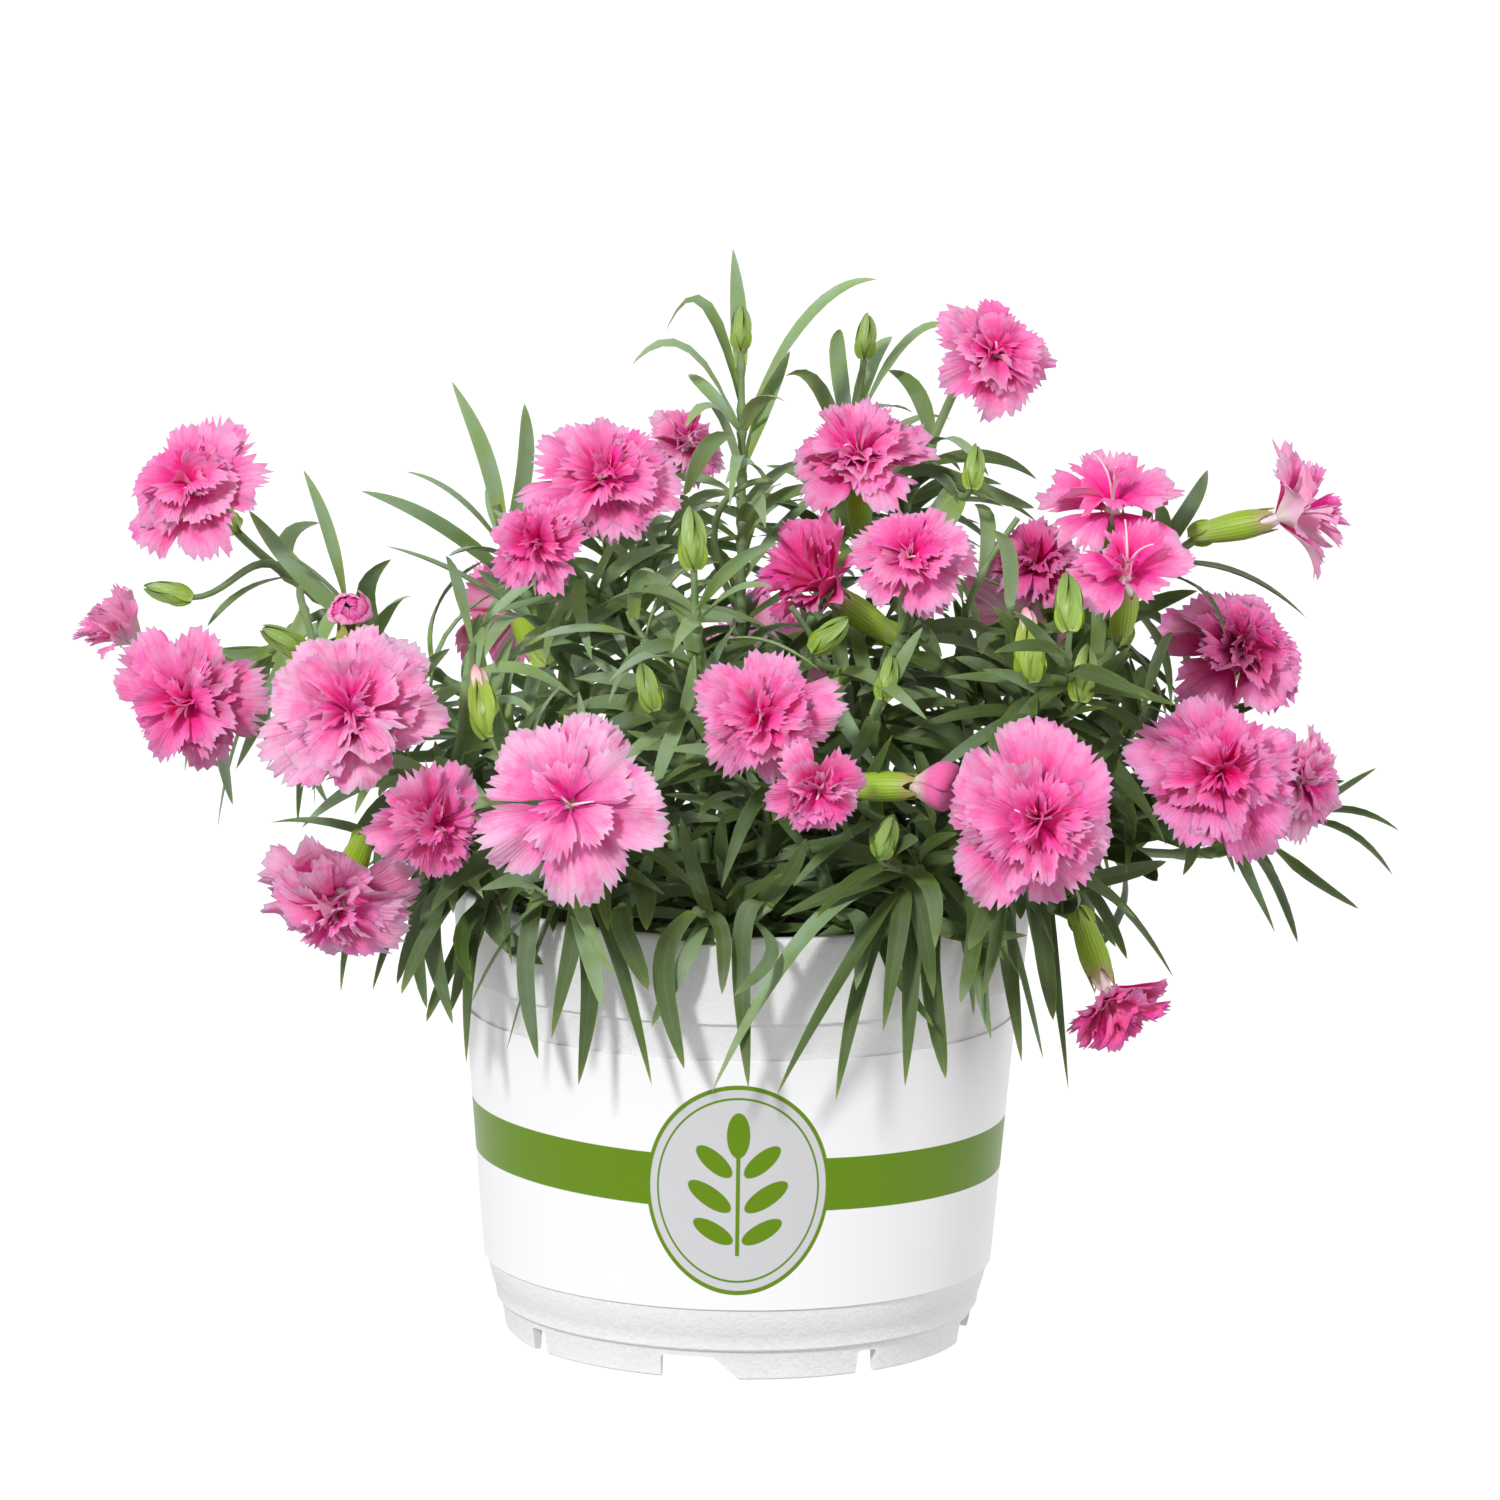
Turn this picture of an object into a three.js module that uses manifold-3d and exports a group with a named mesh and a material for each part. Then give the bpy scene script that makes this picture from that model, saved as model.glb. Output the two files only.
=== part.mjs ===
// A potted dianthus in flower: nursery pot, printed sleeve, soil, leafy and flowering stems, blooms.
// Millimetres, +Z up. The origin is on the pot's axis, on the surface that the pot stands on.
import * as THREE from 'three';
import { mergeVertices } from 'three/addons/utils/BufferGeometryUtils.js';
import Module from 'manifold-3d';

const wasm = await Module();
wasm.setup();

// ---------------------------------------------------------------- driving dimensions
const GAP = 0.35;
const SETTLE = { merge: 1e-3, flatten: 0.1, grid: 0.01 };
const POT = {
  rim: 65, height: 102, foot: 52, footWall: 1.6, wall: 1.6, floorLow: 8, sides: 32,
  lip: 2, shoulder: 82, insideFoot: 53.2, insideTop: 61.6, insideHigh: 98,
};
const SKIRTING = [[53, 6.4], [54.6, 8.6]];
const SLEEVE = { low: 16.9, high: 74, lowRadius: 56.5, highRadius: 61.2, film: 0.5 };
const NOTCH = { count: 8, first: -101.5, wide: 12.5, narrow: 5, height: 5.2, slope: 6 };
const DRAIN = { count: 4, radius: 4.5, ring: 34 };
const SOIL = { edge: 87.5, mound: 3, lump: 0.7, sides: 16, hole: 2.6, holeFloor: 76, drill: 24 };
const STEM = { radius: 1.25, fork: 1.05, sides: 4, taper: 0.8, tip: 1.5, buried: 77, start: 88, run: 30 };
const CALYX = {
  length: 13, root: 2.1, rootAt: 1.5, belly: 2.75, bellyAt: 7.5, mouth: 2.9, tooth: 1.7, gap: 2.5, cup: 3.2,
};
const BUD = { length: 11.5, belly: 2.8, outline: [[0.17, 0.72], [0.43, 1], [0.75, 0.7], [1, 0]] };
const LEAF = { width: 4.35, thickness: 0.95, room: 0.3, rootRoom: 7, tries: 9, lifts: [0, 3, -3, 6, 9, 12] };
const ROUTE = {
  tries: 40, loosen: 0.9, bend: 0.4, step: 1.6, freeAbove: 8,
  onward: 0.75, upward: 0.15, facing: 0.5, arrive: 0.35,
};
const PETAL = { thickness: 0.9, mid: 0.62, notch: 0.1, round: 0.1 };
const PAIRS = {
  first: 0.1, last: 0.86, onFork: 0.57, shortest: 34, length: [29, 40], shrink: [1.08, 0.75],
  open: [28, 55], opening: [8, 34], sway: 20, droop: 0.3, bendAt: 0.5, tipAt: 0.92, width: [0.85, 1.05],
};
const SEED = { stems: 100, forks: 300, forksPerStem: 10, leaves: 700, blooms: 900 };
const HUB = { petals: 5, radius: 3.2, neck: 1.8, drop: 0.3, foot: -2.6, low: 0.4, step: 1.1, steepest: 0.9 };

// Whorls of a bloom, from the outside in. Tilt is the rise above the bloom's flat plane in degrees,
// reach is a share of the bloom's radius, spread is half of a petal's fan angle in degrees.
const WHORLS = {
  full: [
    { tilt: 4, reach: 1, spread: 32, points: 6, wave: 0.1 },
    { tilt: 30, reach: 0.8, spread: 32, points: 2, wave: 0.12 },
    { tilt: 60, reach: 0.6, spread: 30, points: 2, wave: 0.1 },
  ],
  open: [
    { tilt: 6, reach: 1, spread: 32, points: 6, wave: 0.1 },
    { tilt: 38, reach: 0.8, spread: 32, points: 2, wave: 0.12 },
  ],
  small: [
    { tilt: 12, reach: 1, spread: 32, points: 4, wave: 0.1 },
    { tilt: 44, reach: 0.85, spread: 31, points: 2, wave: 0.12 },
  ],
  cup: [
    { tilt: 38, reach: 1.1, spread: 31, points: 6, wave: 0.08 },
    { tilt: 62, reach: 1, spread: 28, points: 2, wave: 0.06 },
  ],
  rolled: [
    { tilt: 72, reach: 1, spread: 26, points: 2, wave: 0.03 },
  ],
};

// Blooms: centre, turn and lift of the direction they face in degrees, radius, form.
// Turn -90 faces the front (-Y), 0 faces +X.
const BLOOMS = {
  left_high: [[-121, -5, 188.5], -115, 33, 18.5, 'open'],
  left_edge: [[-134, 9, 151.5], -160, 25, 12.5, 'small'],
  left_low: [[-121, -24, 146], -105, 10, 19, 'open'],
  left_pale: [[-84.5, -50, 146], -98, 27, 23.5, 'full'],
  left_ball: [[-69, -64, 128], -72, -5, 13, 'small'],
  left_hanging: [[-87, -52, 110], -105, -28, 18.5, 'full'],
  front_left: [[-37, -87, 135], -90, 13, 23, 'full'],
  centre_left: [[-32.5, -12, 192.5], -92, 38, 18.5, 'full'],
  centre_behind: [[-15, 14, 196.5], -50, 50, 11.5, 'small'],
  centre_small: [[-45, -36, 183.5], -98, 8, 12.5, 'small'],
  front_centre: [[3.5, -70, 151.5], -96, 18, 17.5, 'open'],
  front_lower: [[15, -84, 140.5], -70, -5, 13, 'small'],
  centre_side: [[19.5, -19, 170], -160, 35, 18.5, 'cup'],
  centre_right: [[35.5, -38, 180], -98, 38, 15.5, 'open'],
  top_middle: [[25, -2, 196], -90, 64, 18.5, 'full'],
  top_right: [[53, 0, 220.5], -66, 22, 15, 'open'],
  front_right: [[62, -80, 131.5], -87, 15, 22.5, 'full'],
  right_flat: [[81, -4, 187], -90, 72, 20, 'full'],
  right_upper: [[83, -36, 176.5], -88, 52, 17.5, 'open'],
  right_behind: [[65, 7, 171.5], -110, 40, 13, 'small'],
  right_side: [[116.5, 0, 185.5], -12, 14, 15, 'cup'],
  far_right_high: [[109.5, 10, 151.5], -65, 36, 18, 'full'],
  far_right_front: [[103, -36, 134], -88, 22, 20.5, 'full'],
  far_right_low: [[121.5, -6, 127.5], -35, 8, 14, 'open'],
  right_hanging: [[79.5, -50, 90], -60, -52, 13, 'cup'],
  half_open: [[37.5, -72, 137.5], -20, 4, 12, 'rolled'],
  ball_bud: [[-87, -30, 165], -90, 72, 6.5, 'rolled'],
  back_left: [[-52, 66, 150], 115, 30, 19, 'full'],
  back_middle: [[6, 86, 134], 88, 18, 20, 'full'],
  back_right: [[62, 66, 150], 62, 28, 18.5, 'full'],
  back_far_left: [[-92, 50, 132], 142, 15, 17, 'open'],
};

// Closed green buds: centre, turn, lift, size.
const BUDS = {
  top: [[-2, 0, 227], -90, 84, 0.85],
  top_right: [[26, 24, 222], 0, 86, 0.85],
  long_stalk: [[-12, -40, 186], 120, 82, 1.15],
  front: [[18.5, -51, 167], -24, 42, 0.95],
  front_low: [[31, -47, 157], 60, 70, 0.85],
  inner_left: [[-21, -57, 156], 150, 72, 0.9],
  left: [[-57, -45, 149], 120, 66, 1.2],
  far_left: [[-128, -14, 168], -176, 14, 0.9],
  left_inner: [[-102, -22, 159], -170, 30, 0.95],
  right_top: [[50, -10, 198], 75, 70, 0.85],
  right: [[70, -58, 176], 95, 66, 1.1],
  right_pair: [[62, -44, 163], 110, 78, 1.2],
  right_low: [[74, -44, 158], 60, 74, 1.05],
  front_small: [[31, -80, 128], -60, 60, 0.95],
};

// Stems: root on the soil, what the tip carries, how upright it starts, leaf pairs along it, and forks.
// A fork gives its place along the stem, then what it carries; a leafy tip is given by its place.
const STEMS = {
  left_spray: { root: [-30, -2], bloom: 'left_high', rise: 0.43, pairs: 5, forks: [
    { at: 0.72, bloom: 'left_low' }, { at: 0.62, bloom: 'left_edge' },
    { at: 0.86, bud: 'far_left' }, { at: 0.8, bud: 'left_inner' }] },
  left_front: { root: [-38, -15], bloom: 'left_pale', rise: 0.5, pairs: 4, forks: [
    { at: 0.6, bloom: 'ball_bud' }] },
  left_low: { root: [-43, -27], bloom: 'left_hanging', rise: 0.75, pairs: 1, forks: [
    { at: 0.25, tip: [-62, -50, 112], leafy: 'skirt_left' }] },
  front_left: { root: [-27, -38], bloom: 'front_left', rise: 0.5, pairs: 3, forks: [
    { at: 0.4, bud: 'left' }, { at: 0.3, bloom: 'left_ball' },
    { at: 0.2, tip: [-38, -62, 113], leafy: 'skirt_front_left' }] },
  centre_left: { root: [-14, -8], bloom: 'centre_left', rise: 0.5, pairs: 5, forks: [
    { at: 0.55, bloom: 'centre_small' }, { at: 0.6, bloom: 'centre_behind' }] },
  bud_stalk: { root: [-8, -25], bud: 'long_stalk', rise: 0.5, pairs: 4, forks: [
    { at: 0.55, bud: 'inner_left' }] },
  front_centre: { root: [4, -38], bloom: 'front_centre', rise: 0.5, pairs: 3, forks: [
    { at: 0.4, bloom: 'front_lower' }] },
  centre: { root: [7, -13], bloom: 'centre_right', rise: 0.5, pairs: 5, forks: [
    { at: 0.5, bloom: 'centre_side' }, { at: 0.62, bud: 'front' }, { at: 0.43, bud: 'front_low' }] },
  right_top: { root: [18, 2], bloom: 'top_right', rise: 0.45, pairs: 6, forks: [
    { at: 0.55, bloom: 'top_middle' }, { at: 0.78, bud: 'right_top' }] },
  front_right: { root: [24, -33], bloom: 'front_right', rise: 0.5, pairs: 3, forks: [
    { at: 0.45, bloom: 'half_open' }, { at: 0.4, bud: 'front_small' },
    { at: 0.2, tip: [35, -62, 113], leafy: 'skirt_front_right' }] },
  right_middle: { root: [29, -2], bloom: 'right_flat', rise: 0.54, pairs: 4, forks: [
    { at: 0.55, bloom: 'right_behind' }] },
  right_front: { root: [34, -16], bloom: 'right_upper', rise: 0.5, pairs: 4, forks: [
    { at: 0.62, bud: 'right' }, { at: 0.55, bud: 'right_pair' }, { at: 0.6, bud: 'right_low' }] },
  far_right_top: { root: [37, 8], bloom: 'right_side', rise: 0.6, pairs: 4 },
  far_right: { root: [44, -6], bloom: 'far_right_front', rise: 0.45, pairs: 2, forks: [
    { at: 0.55, bloom: 'far_right_high' }, { at: 0.6, bloom: 'far_right_low' }] },
  right_hanging: { root: [45, -24], bloom: 'right_hanging', rise: 0.8, pairs: 1, forks: [
    { at: 0.3, tip: [66, -34, 113], leafy: 'skirt_right' }] },
  back_left: { root: [-24, 22], bloom: 'back_left', rise: 0.5, pairs: 4, forks: [
    { at: 0.45, bloom: 'back_far_left' }, { at: 0.25, tip: [-54, 46, 113], skirt: 5 }] },
  back_middle: { root: [2, 36], bloom: 'back_middle', rise: 0.5, pairs: 4, forks: [
    { at: 0.25, tip: [0, 72, 113], skirt: 5 }] },
  back_right: { root: [25, 27], bloom: 'back_right', rise: 0.5, pairs: 4, forks: [
    { at: 0.25, tip: [54, 46, 113], skirt: 5 }] },
  shoot_top: { root: [-3, 6], bud: 'top', rise: 0.5, pairs: 6, leafy: 'shoot_top' },
  shoot_top_right: { root: [9, 20], bud: 'top_right', rise: 0.5, pairs: 5, leafy: 'shoot_top_right' },
  shoot_left: { root: [-26, 10], tip: [-56, 2, 186], rise: 0.5, pairs: 5, leafy: 'shoot_left' },
  shoot_far_left: { root: [-42, 6], tip: [-90, 2, 164], rise: 0.5, pairs: 4, leafy: 'shoot_far_left' },
  shoot_back: { root: [-10, 26], tip: [-20, 48, 176], rise: 0.5, pairs: 5 },
  shoot_back_right: { root: [38, 28], tip: [92, 50, 134], rise: 0.55, pairs: 5 },
  shoot_right: { root: [50, 6], tip: [128, 20, 115], rise: 0.45, pairs: 3, leafy: 'shoot_right' },
};

// Leaves that stand out of the clump, by stem: place along it, leaf tip, and how high the leaf arches.
const LONG_LEAVES = {
  shoot_top: [
    [0.97, [-4, -3, 245], 0], [0.86, [28, 0, 238], 9], [0.86, [-26, -6, 219], 11],
    [0.9, [-19, 8, 224], 6], [0.78, [-14, -12, 206], 4], [0.78, [9, 6, 221], 3]],
  shoot_top_right: [
    [0.8, [8, 14, 214], 8], [0.84, [20, 20, 224], 0], [0.86, [45, 18, 225], 8],
    [0.7, [46, 32, 202], 8], [0.9, [32, 38, 220], 3]],
  shoot_left: [
    [0.95, [-66, 0, 214], 0], [0.85, [-76, -3, 194], 4], [0.75, [-86, 0, 189], 7],
    [0.9, [-50, 8, 208], 2], [0.66, [-80, -8, 178], 6]],
  shoot_far_left: [
    [0.98, [-99, 4, 193], 2], [0.92, [-111, 2, 184], 3], [0.8, [-103, -6, 176], 6],
    [0.97, [-96, -14, 150], 5]],
  shoot_right: [
    [1, [148, 17, 112], 3], [0.95, [143, 25, 125], -3], [0.9, [139, 12, 95], -1],
    [0.98, [147, 21, 101], 7], [0.85, [120, 8, 90], 6], [0.8, [112, 36, 98], 6]],
  skirt_left: [
    [1, [-71, -47, 90], 5], [0.95, [-63, -51, 79], 6], [0.85, [-76, -33, 84], 8]],
  skirt_front_left: [
    [1, [-51, -60, 75], 6], [1, [-41, -69, 80], 6], [0.9, [-35, -70, 70], 7],
    [0.9, [-30, -74, 88], 6], [0.8, [-19, -74, 71], 8], [0.7, [-59, -52, 84], 8]],
  skirt_front_right: [
    [1, [8, -75, 69], 9], [1, [21, -73, 68], 7], [0.9, [36, -72, 71], 9],
    [1, [31, -76, 84], 5], [0.8, [-6, -76, 70], 11], [0.9, [42, -68, 90], 6]],
  skirt_right: [
    [1, [69, -38, 79], 6], [1, [62, -45, 71], 6], [0.95, [73, -28, 61], 7],
    [0.9, [96, -24, 86], 7], [0.8, [86, -14, 88], 8]],
};

// Leaves that hang over the rim from a low fork, spread evenly about the fork's bearing.
const SKIRT = { step: 17, sway: 4, radius: [76, 90], height: [70, 92], arch: 7 };

// ---------------------------------------------------------------- small helpers
const UP = new THREE.Vector3(0, 0, 1);
const EAST = new THREE.Vector3(1, 0, 0);
const NORTH = new THREE.Vector3(0, 1, 0);
const point = (xyz) => new THREE.Vector3(...xyz);
const radians = THREE.MathUtils.degToRad;
const blend = THREE.MathUtils.lerp;

// A seeded draw between two numbers, the same in every run.
function dice(seed) {
  let state = (seed * 7919 + 104729) >>> 0;
  const next = () => {
    state = (Math.imul(state, 1664525) + 1013904223) >>> 0;
    return state / 4294967296;
  };
  next();
  next();
  return (low, high) => low + (high - low) * next();
}

// The unit direction that a turn and a lift in degrees describe.
function facing(turn, lift) {
  const flat = Math.cos(radians(lift));
  return new THREE.Vector3(
    Math.cos(radians(turn)) * flat,
    Math.sin(radians(turn)) * flat,
    Math.sin(radians(lift)),
  );
}

// A vector turned square to a direction, with length 1.
const squared = (side, along) => side.clone().addScaledVector(along, -side.dot(along)).normalize();
const squareTo = (along) => squared(Math.abs(along.x) < 0.8 ? EAST : NORTH, along);

// ---------------------------------------------------------------- closed solids
// A geometry as a solid; its faces are turned outwards if they point in.
function solidOf(geometry) {
  const bare = geometry.clone();
  bare.deleteAttribute('normal');
  bare.deleteAttribute('uv');
  const merged = mergeVertices(bare, SETTLE.merge);
  const build = (triVerts) => new wasm.Manifold(new wasm.Mesh({
    numProp: 3,
    vertProperties: new Float32Array(merged.attributes.position.array),
    triVerts,
  }));
  const faces = new Uint32Array(merged.index.array);
  const solid = build(faces);
  return solid.volume() > 0 ? solid : build(faces.reverse());
}

// A closed mesh from corners and faces.
function solidFrom(corners, faces) {
  const geometry = new THREE.BufferGeometry();
  geometry.setAttribute('position', new THREE.Float32BufferAttribute(corners.flatMap((c) => c.toArray()), 3));
  geometry.setIndex(faces.flat());
  return solidOf(geometry);
}

const joined = (solids) => solids.reduce((whole, next) => whole.add(next));

function geometryOf(solid) {
  const cut = solid.getMesh();
  const geometry = new THREE.BufferGeometry();
  geometry.setAttribute('position', new THREE.Float32BufferAttribute(cut.vertProperties, 3));
  geometry.setIndex(new THREE.BufferAttribute(cut.triVerts, 1));
  return geometry;
}

// The largest body of a solid, with its corners on a fine grid so that none are almost in one place,
// and with any sealed hollow filled.
function wholeBody(solid) {
  const geometry = geometryOf(solid.simplify(SETTLE.flatten));
  const corners = geometry.attributes.position.array;
  corners.forEach((value, i) => {
    corners[i] = Math.round(value / SETTLE.grid) * SETTLE.grid;
  });
  const settled = solidOf(geometry);
  const bodies = settled.decompose().filter((body) => body.volume() > 0);
  return bodies.reduce((best, body) => (body.volume() > best.volume() ? body : best));
}

function meshOf(name, solid, material) {
  const geometry = geometryOf(solid);
  geometry.computeVertexNormals();
  const mesh = new THREE.Mesh(geometry, material);
  mesh.name = name;
  return mesh;
}

// A body turned about +Z from a list of radius and height pairs.
function turned(profile, sides) {
  const outline = profile.map(([radius, height]) => new THREE.Vector2(radius, height));
  return new THREE.LatheGeometry(outline, sides).rotateX(Math.PI / 2);
}

// ---------------------------------------------------------------- pot, sleeve and soil
function innerRadius(z) {
  const { floorLow, wall, insideFoot, insideTop, insideHigh } = POT;
  return blend(insideFoot, insideTop, (z - floorLow - wall) / (insideHigh - floorLow - wall));
}

function notchCutter(index) {
  const width = index % 2 ? NOTCH.narrow : NOTCH.wide;
  const slope = index % 2 ? 0 : NOTCH.slope;
  const outline = new THREE.Shape([
    new THREE.Vector2(-width / 2, -1),
    new THREE.Vector2(width / 2 + slope, -1),
    new THREE.Vector2(width / 2, NOTCH.height),
    new THREE.Vector2(-width / 2, NOTCH.height),
  ]);
  const block = new THREE.ExtrudeGeometry(outline, { depth: 10, bevelEnabled: false, steps: 1 });
  block.rotateX(Math.PI / 2).translate(0, -POT.foot + 6, 0);
  block.rotateZ(radians(NOTCH.first + 90 + (index * 360) / NOTCH.count));
  return solidOf(block);
}

function drainCutter(index) {
  const hole = new THREE.CylinderGeometry(DRAIN.radius, DRAIN.radius, 3 * POT.wall, 8).rotateX(Math.PI / 2);
  hole.translate(DRAIN.ring, 0, POT.floorLow + POT.wall / 2);
  hole.rotateZ(radians(45 + (index * 360) / DRAIN.count));
  return solidOf(hole);
}

function pot() {
  const { rim, height, lip, shoulder, foot, footWall, wall, floorLow } = POT;
  const floorTop = floorLow + wall;
  const profile = [
    [0, floorLow], [foot - footWall / 2, floorLow], [foot - footWall, 0], [foot, 0], ...SKIRTING,
    [SLEEVE.lowRadius, SLEEVE.low - GAP], [SLEEVE.highRadius, SLEEVE.high + GAP],
    [rim - 2.8, shoulder], [rim - 1.6, shoulder + 0.7],
    [rim, height - lip], [rim - 0.5, height], [rim - lip, height],
    [POT.insideTop, POT.insideHigh], [POT.insideFoot, floorTop], [0, floorTop],
  ];
  let solid = solidOf(turned(profile, POT.sides));
  for (let i = 0; i < NOTCH.count; i++) solid = solid.subtract(notchCutter(i));
  for (let i = 0; i < DRAIN.count; i++) solid = solid.subtract(drainCutter(i));
  return wholeBody(solid);
}

function sleeve() {
  const { low, high, lowRadius, highRadius, film } = SLEEVE;
  const ring = [
    [lowRadius + GAP, low], [lowRadius + GAP + film, low],
    [highRadius + GAP + film, high], [highRadius + GAP, high], [lowRadius + GAP, low],
  ];
  return solidOf(turned(ring, POT.sides));
}

// Height of the soil: a low mound with shallow lumps.
function soilHeight(x, y) {
  const out = Math.min(1, Math.hypot(x, y) / innerRadius(SOIL.edge));
  const lumps = Math.sin(x * 0.31 + 1) * Math.cos(y * 0.27) + Math.sin((x + y) * 0.17);
  return SOIL.edge + SOIL.mound * (1 - out * out) + SOIL.lump * lumps * (1 - out);
}

function soil() {
  const floor = POT.floorLow + POT.wall + GAP;
  const fit = (z) => innerRadius(z) * Math.cos(Math.PI / POT.sides) - GAP;
  const profile = [[0, floor], [fit(floor), floor], [fit(SOIL.edge), SOIL.edge], [36, 89], [0, 91]];
  const bare = turned(profile, SOIL.sides).deleteAttribute('uv').deleteAttribute('normal');
  const geometry = mergeVertices(bare, SETTLE.merge);
  const corner = geometry.attributes.position;
  for (let i = 0; i < corner.count; i++) {
    if (corner.getZ(i) > SOIL.edge - 1) corner.setZ(i, soilHeight(corner.getX(i), corner.getY(i)));
  }
  let solid = solidOf(geometry);
  for (const { root } of Object.values(STEMS)) {
    const hole = new THREE.CylinderGeometry(SOIL.hole, SOIL.hole, SOIL.drill, 4).rotateX(Math.PI / 2);
    solid = solid.subtract(solidOf(hole.translate(...root, SOIL.holeFloor + SOIL.drill / 2)));
  }
  return wholeBody(solid);
}

// ---------------------------------------------------------------- room between the pieces
// Every stem and leaf is also a string of balls. A new one is clear when its balls touch no ball of
// another plant stem, no bloom and not the pot.
const CELL = 8;
const ROOM = { rim: 0.5, ground: 2, insideHigh: 95 };
const cells = new Map();
const cellKey = (x, y, z) => `${x},${y},${z}`;
const cellOf = (value) => Math.floor(value / CELL);

function claim(ball) {
  const key = cellKey(cellOf(ball.at.x), cellOf(ball.at.y), cellOf(ball.at.z));
  if (!cells.has(key)) cells.set(key, []);
  cells.get(key).push(ball);
}

function touchesClaimed(ball) {
  const [cx, cy, cz] = [cellOf(ball.at.x), cellOf(ball.at.y), cellOf(ball.at.z)];
  for (let x = cx - 1; x <= cx + 1; x++) {
    for (let y = cy - 1; y <= cy + 1; y++) {
      for (let z = cz - 1; z <= cz + 1; z++) {
        for (const other of cells.get(cellKey(x, y, z)) ?? []) {
          const near = other.radius + ball.radius;
          const kin = other.owner === ball.owner && (!ball.leaf || !other.leaf || other.leaf === ball.leaf);
          if (!kin && other.at.distanceToSquared(ball.at) < near * near) return true;
        }
      }
    }
  }
  return false;
}

const heads = Object.entries(BLOOMS).map(([name, [at, turn, lift, radius, form]]) => ({
  name,
  radius,
  form,
  at: point(at),
  front: facing(turn, lift),
}));

// How far a bloom reaches behind and before its centre, and out to its side.
function headRoom({ form, radius }) {
  if (form === 'rolled') return { back: 1, fore: radius + 2, side: 5.5 };
  if (form === 'cup') return { back: 1, fore: radius * 1.05 + 2, side: radius * 0.95 + 1.5 };
  return { back: 0.12 * radius, fore: 0.62 * radius + 2, side: radius + 1.5 };
}

function touchesHead(ball, carried) {
  return heads.some((head) => {
    if (head.name === carried) return false;
    const offset = ball.at.clone().sub(head.at);
    const along = offset.dot(head.front);
    const out = Math.sqrt(Math.max(0, offset.lengthSq() - along * along));
    const { back, fore, side } = headRoom(head);
    return along > -back - ball.radius && along < fore + ball.radius && out < side + ball.radius;
  });
}

function touchesPot({ at, radius }) {
  const out = Math.hypot(at.x, at.y);
  if (at.z - radius > POT.height + ROOM.rim) return false;
  if (out - radius > POT.rim + ROOM.rim) return at.z - radius < ROOM.ground;
  return out + radius > innerRadius(ROOM.insideHigh) || at.z - radius < soilHeight(at.x, at.y);
}

const touches = (ball, carried) => touchesPot(ball) || touchesClaimed(ball) || touchesHead(ball, carried);
const isClear = (balls) => !balls.some((ball) => touches(ball));

// ---------------------------------------------------------------- stems
// A tube through the given stations, each a place, a direction along, a direction to its first
// corner and a radius, closed at both ends. It may end in a calyx mouth: teeth round a shallow cup.
function tube(stations, sides, mouth) {
  const corners = [];
  const faces = [];
  const addRing = ({ at, along, side, radius }, count, tooth) => {
    const across = along.clone().cross(side);
    const ring = [];
    for (let i = 0; i < count; i++) {
      const angle = (i * 2 * Math.PI) / count;
      const corner = at.clone().addScaledVector(along, i % 2 ? 0 : tooth);
      corner.addScaledVector(side, radius * Math.cos(angle));
      corner.addScaledVector(across, radius * Math.sin(angle));
      ring.push(corners.push(corner) - 1);
    }
    return ring;
  };
  const bridge = (low, high) => low.forEach((a, i) => {
    const b = low[(i + 1) % low.length];
    faces.push([a, b, high[i]], [b, high[(i + 1) % high.length], high[i]]);
  });
  const bridgeToTeeth = (low, high) => low.forEach((a, i) => {
    const b = low[(i + 1) % low.length];
    const valley = high[2 * i + 1];
    faces.push([a, valley, high[2 * i]], [a, b, valley], [b, high[(2 * i + 2) % high.length], valley]);
  });
  const close = (ring, at, under) => {
    const centre = corners.push(at) - 1;
    ring.forEach((a, i) => {
      const b = ring[(i + 1) % ring.length];
      faces.push(under ? [b, a, centre] : [a, b, centre]);
    });
  };
  const rings = stations.filter(({ radius }) => radius > 0).map((station) => addRing(station, sides, 0));
  close(rings[0], stations[0].at, true);
  rings.slice(1).forEach((ring, i) => bridge(rings[i], ring));
  const last = stations[stations.length - 1];
  if (!mouth) {
    close(rings[rings.length - 1], last.at, false);
    return solidFrom(corners, faces);
  }
  const rim = addRing({ ...last, at: mouth, radius: CALYX.mouth }, sides * 2, CALYX.tooth);
  bridgeToTeeth(rings[rings.length - 1], rim);
  close(rim, mouth.clone().addScaledVector(last.along, CALYX.gap - CALYX.cup), false);
  return solidFrom(corners, faces);
}

// Where a stem ends, and in which direction, for what it carries.
function tipOf(spec) {
  if (spec.bloom) {
    const head = heads.find(({ name }) => name === spec.bloom);
    const end = head.at.clone().addScaledVector(head.front, -CALYX.gap - CALYX.length);
    return { end, front: head.front };
  }
  if (spec.bud) {
    const [at, turn, lift, size] = BUDS[spec.bud];
    const front = facing(turn, lift);
    return { end: point(at).addScaledVector(front, (-BUD.length * size) / 2), front, size };
  }
  return { end: point(spec.tip), front: null };
}

// A path that leaves its start rising and comes to its end along what it carries there.
function pathBetween(start, rising, end, front, rise, draw, loose) {
  const span = start.distanceTo(end);
  const arriving = end.clone().sub(start).normalize().multiplyScalar(ROUTE.onward);
  arriving.addScaledVector(front ?? UP, front ? ROUTE.facing : ROUTE.upward).normalize();
  const shift = () => new THREE.Vector3(draw(-loose, loose), draw(-loose, loose), draw(-loose, loose));
  const first = start.clone().addScaledVector(rising, span * rise).add(shift());
  const second = end.clone().addScaledVector(arriving, -span * ROUTE.arrive).add(shift());
  return new THREE.CubicBezierCurve3(start, first, second, end);
}

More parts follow.
